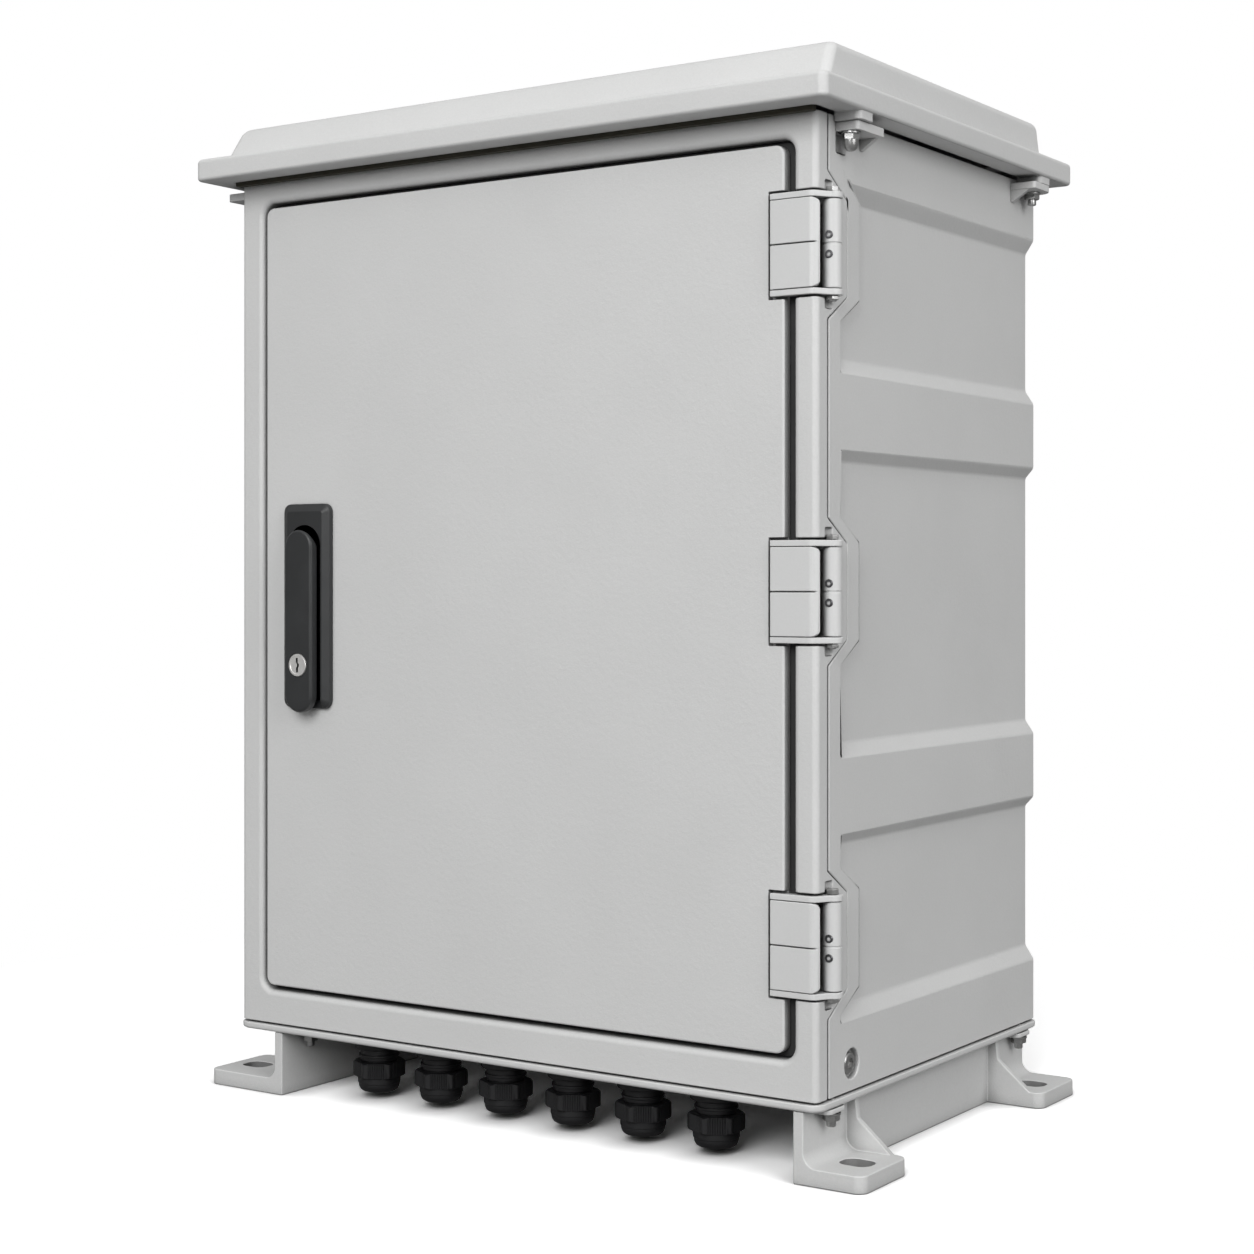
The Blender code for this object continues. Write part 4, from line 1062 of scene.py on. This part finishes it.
class EnclosureFixings(bpy.types.Operator):
    """Build the canopy bolts, foot bolts and side screws"""
    bl_idname = "enclosure.fixings"
    bl_label = "Fixings"

    def execute(self, context):
        head = FLANGE_Z[0] + 3.5 + GAP
        for spot, (x, y), (low, high) in zip(("front", "rear"), CANOPY_BOLT, BRACKET_Z):
            front = spot == "front"
            face = low - GAP
            spots = [((side * x, y, 0.0), (0.0, 0.0, 12.0)) for side in SIDES]
            bolt = stud_set(face, face - (10.0 if front else 11.2), head + 2.0, head, front)
            piece(at_points(bolt, spots, "steel"), "canopy_bolt_set_" + spot, "steel", "cabinet",
                  "canopy_bolt_%s_left" % spot, "canopy_bolt_%s_right" % spot)
        face = RAIL_TOP - 4.0 - GAP
        spots = [((side * FOOT_BOLT_X[side], y, 0.0), (0.0, 0.0, 20.0))
                 for side in SIDES for y in FOOT_BOLT_Y]
        piece(at_points(stud_set(face, face - 11.0, SEAM - 0.6), spots, "steel"), "foot_bolt_set",
              "steel", "cabinet", *four_nodes("foot_bolt"))
        spots = [((side * 298.8, *SIDE_SCREW), (0.0, 0.0, 90.0 - 90.0 * side)) for side in (1.0, -1.0)]
        piece(at_points(socket_screw(), spots, "steel"), "side_screw_set", "steel", "cabinet",
              "side_screw_left", "side_screw_right")
        return {"FINISHED"}


# ---- inside ----
def terminal_block():
    block = box((-13.2, 13.2), (112.0, 161.9), (DIN_Z - 23.0, DIN_Z + 23.0))
    cut(block, box((-7.0, 7.0), (105.0, 124.0), (DIN_Z - 11.0, DIN_Z + 11.0)))
    for z in (DIN_Z - 18.5, DIN_Z + 18.5):
        cut(block, cylinder(0.0, z, 3.2, "Y", 105.0, 120.0, 20))
    return soften(block, 0.6, 2)


def screw_top(radius):
    """Slotted screw head lying with its face to the front."""
    screw = spun("Y", ((radius, 2.0), (radius, 0.4), (radius - 0.4, 0.0)), 32)
    cut(screw, box((-0.5, 0.5), (-1.0, 0.9), (-radius, radius)))
    return screw


class EnclosureInside(bpy.types.Operator):
    """Build the door seal, the equipment plate and what is mounted on it"""
    bl_idname = "enclosure.inside"
    bl_label = "Inside"

    def execute(self, context):
        size = context.scene.enclosure_sizes
        seal = prism(round_rect((OPEN_X[0] + 0.5, OPEN_X[1] - 0.5), (OPEN_Z[0] + 0.5, OPEN_Z[1] - 0.5),
                                10.5), "Y", -189.7, -185.3)
        cut(seal, prism(round_rect((RETURN_X[0] - 1.0, RETURN_X[1] + 1.0),
                                   (RETURN_Z[0] - 1.0, RETURN_Z[1] + 1.0), 6.0), "Y", -195.0, -180.0))
        piece(soften(seal, 1.6, 4), "door_seal_strip", "rubber", "cabinet", "door_gasket")
        plate = prism(round_rect((-240.0, 240.0), (100.0, 780.0), 6.0), "Y", *PLATE_Y)
        for x, z in PLATE_HOLES:
            cut(plate, cylinder(x, z, SCREW_HOLE, "Y", PLATE_Y[0] - 5.0, PLATE_Y[1] + 7.0, 24))
        piece(soften(plate, 0.5, 2), "equipment_plate", "zinc", "cabinet", "mounting_plate")
        spread = (size.terminal_count, size.terminal_pitch)
        row = in_row(terminal_block(), *spread, (0.0, 0.0, 0.0), "terminal")
        join(row, box((-146.0, 146.0), (126.0, 161.0), (DIN_Z - 15.0, DIN_Z + 15.0)))
        piece(row, "terminal_row", "terminal", "cabinet", "terminal_strip")
        piece(in_row(screw_top(5.4), *spread, (0.0, 122.4, DIN_Z), "steel"), "terminal_screws",
              "steel", "cabinet")
        bar = box((-120.0, 120.0), (140.0, 146.0), (EARTH_Z - 10.0, EARTH_Z + 10.0))
        for x in (-105.0, 105.0):
            join(bar, box((x - 8.0, x + 8.0), (145.0, PLATE_Y[0] - GAP),
                          (EARTH_Z - 8.0, EARTH_Z + 8.0)))
        piece(soften(bar, 0.5, 2), "earth_bar_brass", "brass", "cabinet", "earth_bar")
        piece(in_row(screw_top(4.6), 6, 30.0 * MM, (0.0, 138.6, EARTH_Z), "steel"), "earth_bar_screws",
              "steel", "cabinet")
        for name in ("din_rail", "gear_case", "rod_guide_upper", "rod_guide_lower", "spindle",
                     "rod_upper", "rod_lower"):
            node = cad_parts[name]
            node.data.materials.clear()
            node.data.materials.append(finishes()["zinc"])
        return {"FINISHED"}


# ---- studio ----
def soft_lamp(name, spot, target, size, power):
    lamp = bpy.data.lights.new(name, "AREA")
    lamp.shape = "RECTANGLE"
    lamp.size, lamp.size_y = size
    lamp.energy = power
    holder = bpy.data.objects.new(name, lamp)
    holder.location = spot
    holder.rotation_euler = (Vector(target) - Vector(spot)).to_track_quat("-Z", "Y").to_euler()
    bpy.context.scene.collection.objects.link(holder)
    return holder


def white_to_camera(tree, quiet, bright):
    """Mix two closures so that camera and glass rays meet the bright one."""
    path = add(tree, "ShaderNodeLightPath")
    seen = number(tree, "MAXIMUM", path.outputs["Is Camera Ray"],
                  path.outputs["Is Transmission Ray"])
    return add(tree, "ShaderNodeMixShader", {0: seen, 1: quiet, 2: bright}).outputs[0]


class EnclosureStage(bpy.types.Operator):
    """Build the floor, the studio light and the camera"""
    bl_idname = "enclosure.stage"
    bl_label = "Stage"

    def execute(self, context):
        scene = context.scene
        look = scene.enclosure_finishes
        bm = bmesh.new()
        bmesh.ops.create_grid(bm, x_segments=1, y_segments=1, size=14.0)
        floor = finish(bm, "studio_floor")
        mat = bpy.data.materials.new("studio_floor_white")
        mat.use_nodes = True
        tree = mat.node_tree
        tree.nodes.remove(tree.nodes["Principled BSDF"])
        quiet = add(tree, "ShaderNodeBsdfDiffuse", {"Color": (*look.floor, 1.0)}).outputs[0]
        # Painted shade: for camera rays the floor colour darkens by ambient occlusion next to the feet and
        # inside the foot slots.
        closed = add(tree, "ShaderNodeAmbientOcclusion", {"Distance": 0.03}, samples=8).outputs["AO"]
        near = add(tree, "ShaderNodeBsdfDiffuse",
                   {"Color": tint(tree, closed, (0.16, 0.16, 0.16), (1.62, 1.62, 1.62))}).outputs[0]
        clean = add(tree, "ShaderNodeEmission", {"Color": WHITE}).outputs[0]
        where = add(tree, "ShaderNodeTexCoord").outputs["Object"]
        far = add(tree, "ShaderNodeVectorMath", {0: where}, operation="LENGTH").outputs["Value"]
        fade = add(tree, "ShaderNodeMixShader",
                   {0: between(tree, far, 0.0, 1.0, 0.52, 1.00), 1: near, 2: clean}).outputs[0]
        tree.links.new(white_to_camera(tree, quiet, fade),
                       tree.nodes["Material Output"].inputs["Surface"])
        floor.data.materials.append(mat)

        world = bpy.data.worlds.new("studio_white")
        scene.world = world
        world.use_nodes = True
        tree = world.node_tree
        tree.nodes.clear()
        way = add(tree, "ShaderNodeSeparateXYZ",
                  {"Vector": add(tree, "ShaderNodeTexCoord").outputs["Object"]}).outputs["Z"]
        quiet, bright = (add(tree, "ShaderNodeBackground", {"Color": WHITE, "Strength": strength})
                         .outputs[0] for strength in (between(tree, way, 0.08, 0.52, -0.2, 0.6), 1.0))
        add(tree, "ShaderNodeOutputWorld", {"Surface": white_to_camera(tree, quiet, bright)})

        middle, low = (0.0, 0.0, 0.45), (0.0, 0.0, 0.3)
        soft_lamp("key_lamp", (1.0, -4.5, 2.75), low, (2.7, 2.7), 163.0)
        soft_lamp("fill_lamp", (4.4, -1.35, 2.2), low, (3.0, 3.0), 97.0)
        soft_lamp("top_lamp", (0.2, -0.2, 3.4), middle, (2.6, 2.6), 4.0)

        camera = bpy.data.cameras.new("view")
        camera.lens = 64.2
        camera.sensor_width = 36.0
        camera.shift_y = -0.0372
        camera.clip_end = 50.0
        holder = bpy.data.objects.new("view", camera)
        holder.location = (1.1358, -1.6989, 0.4648)
        holder.rotation_euler = Euler((radians(90.0), 0.0, radians(34.0)))
        scene.collection.objects.link(holder)
        scene.camera = holder
        scene.view_settings.view_transform = "Standard"
        return {"FINISHED"}


class EnclosurePanel(bpy.types.Panel):
    """Buttons for every part of the enclosure"""
    bl_idname = "VIEW3D_PT_enclosure"
    bl_label = "Enclosure"
    bl_space_type = "VIEW_3D"
    bl_region_type = "UI"
    bl_category = "Enclosure"

    def draw(self, context):
        for group in (context.scene.enclosure_sizes, context.scene.enclosure_finishes):
            column = self.layout.column(align=True)
            for key in group.bl_rna.properties.keys():
                if key not in {"rna_type", "name"}:
                    column.prop(group, key)
        for operator in OPERATORS:
            self.layout.operator(operator.bl_idname)


OPERATORS = (EnclosureShell, EnclosureCanopy, EnclosureFeet, EnclosureDoor, EnclosureHinges,
             EnclosureHandle, EnclosureGlands, EnclosureFixings, EnclosureInside, EnclosureStage)
GROUPS = (EnclosureSizes, EnclosureFinishes)


def register():
    for item in (*GROUPS, *OPERATORS, EnclosurePanel):
        bpy.utils.register_class(item)
    bpy.types.Scene.enclosure_sizes = PointerProperty(type=EnclosureSizes)
    bpy.types.Scene.enclosure_finishes = PointerProperty(type=EnclosureFinishes)


def unregister():
    del bpy.types.Scene.enclosure_finishes
    del bpy.types.Scene.enclosure_sizes
    for item in reversed((*GROUPS, *OPERATORS, EnclosurePanel)):
        bpy.utils.unregister_class(item)


def main():
    """Build everything in order."""
    register()
    bpy.ops.enclosure.shell()
    bpy.ops.enclosure.canopy()
    bpy.ops.enclosure.feet()
    bpy.ops.enclosure.door()
    bpy.ops.enclosure.hinges()
    bpy.ops.enclosure.handle()
    bpy.ops.enclosure.glands()
    bpy.ops.enclosure.fixings()
    bpy.ops.enclosure.inside()
    bpy.ops.enclosure.stage()


if __name__ == "__main__":
    main()
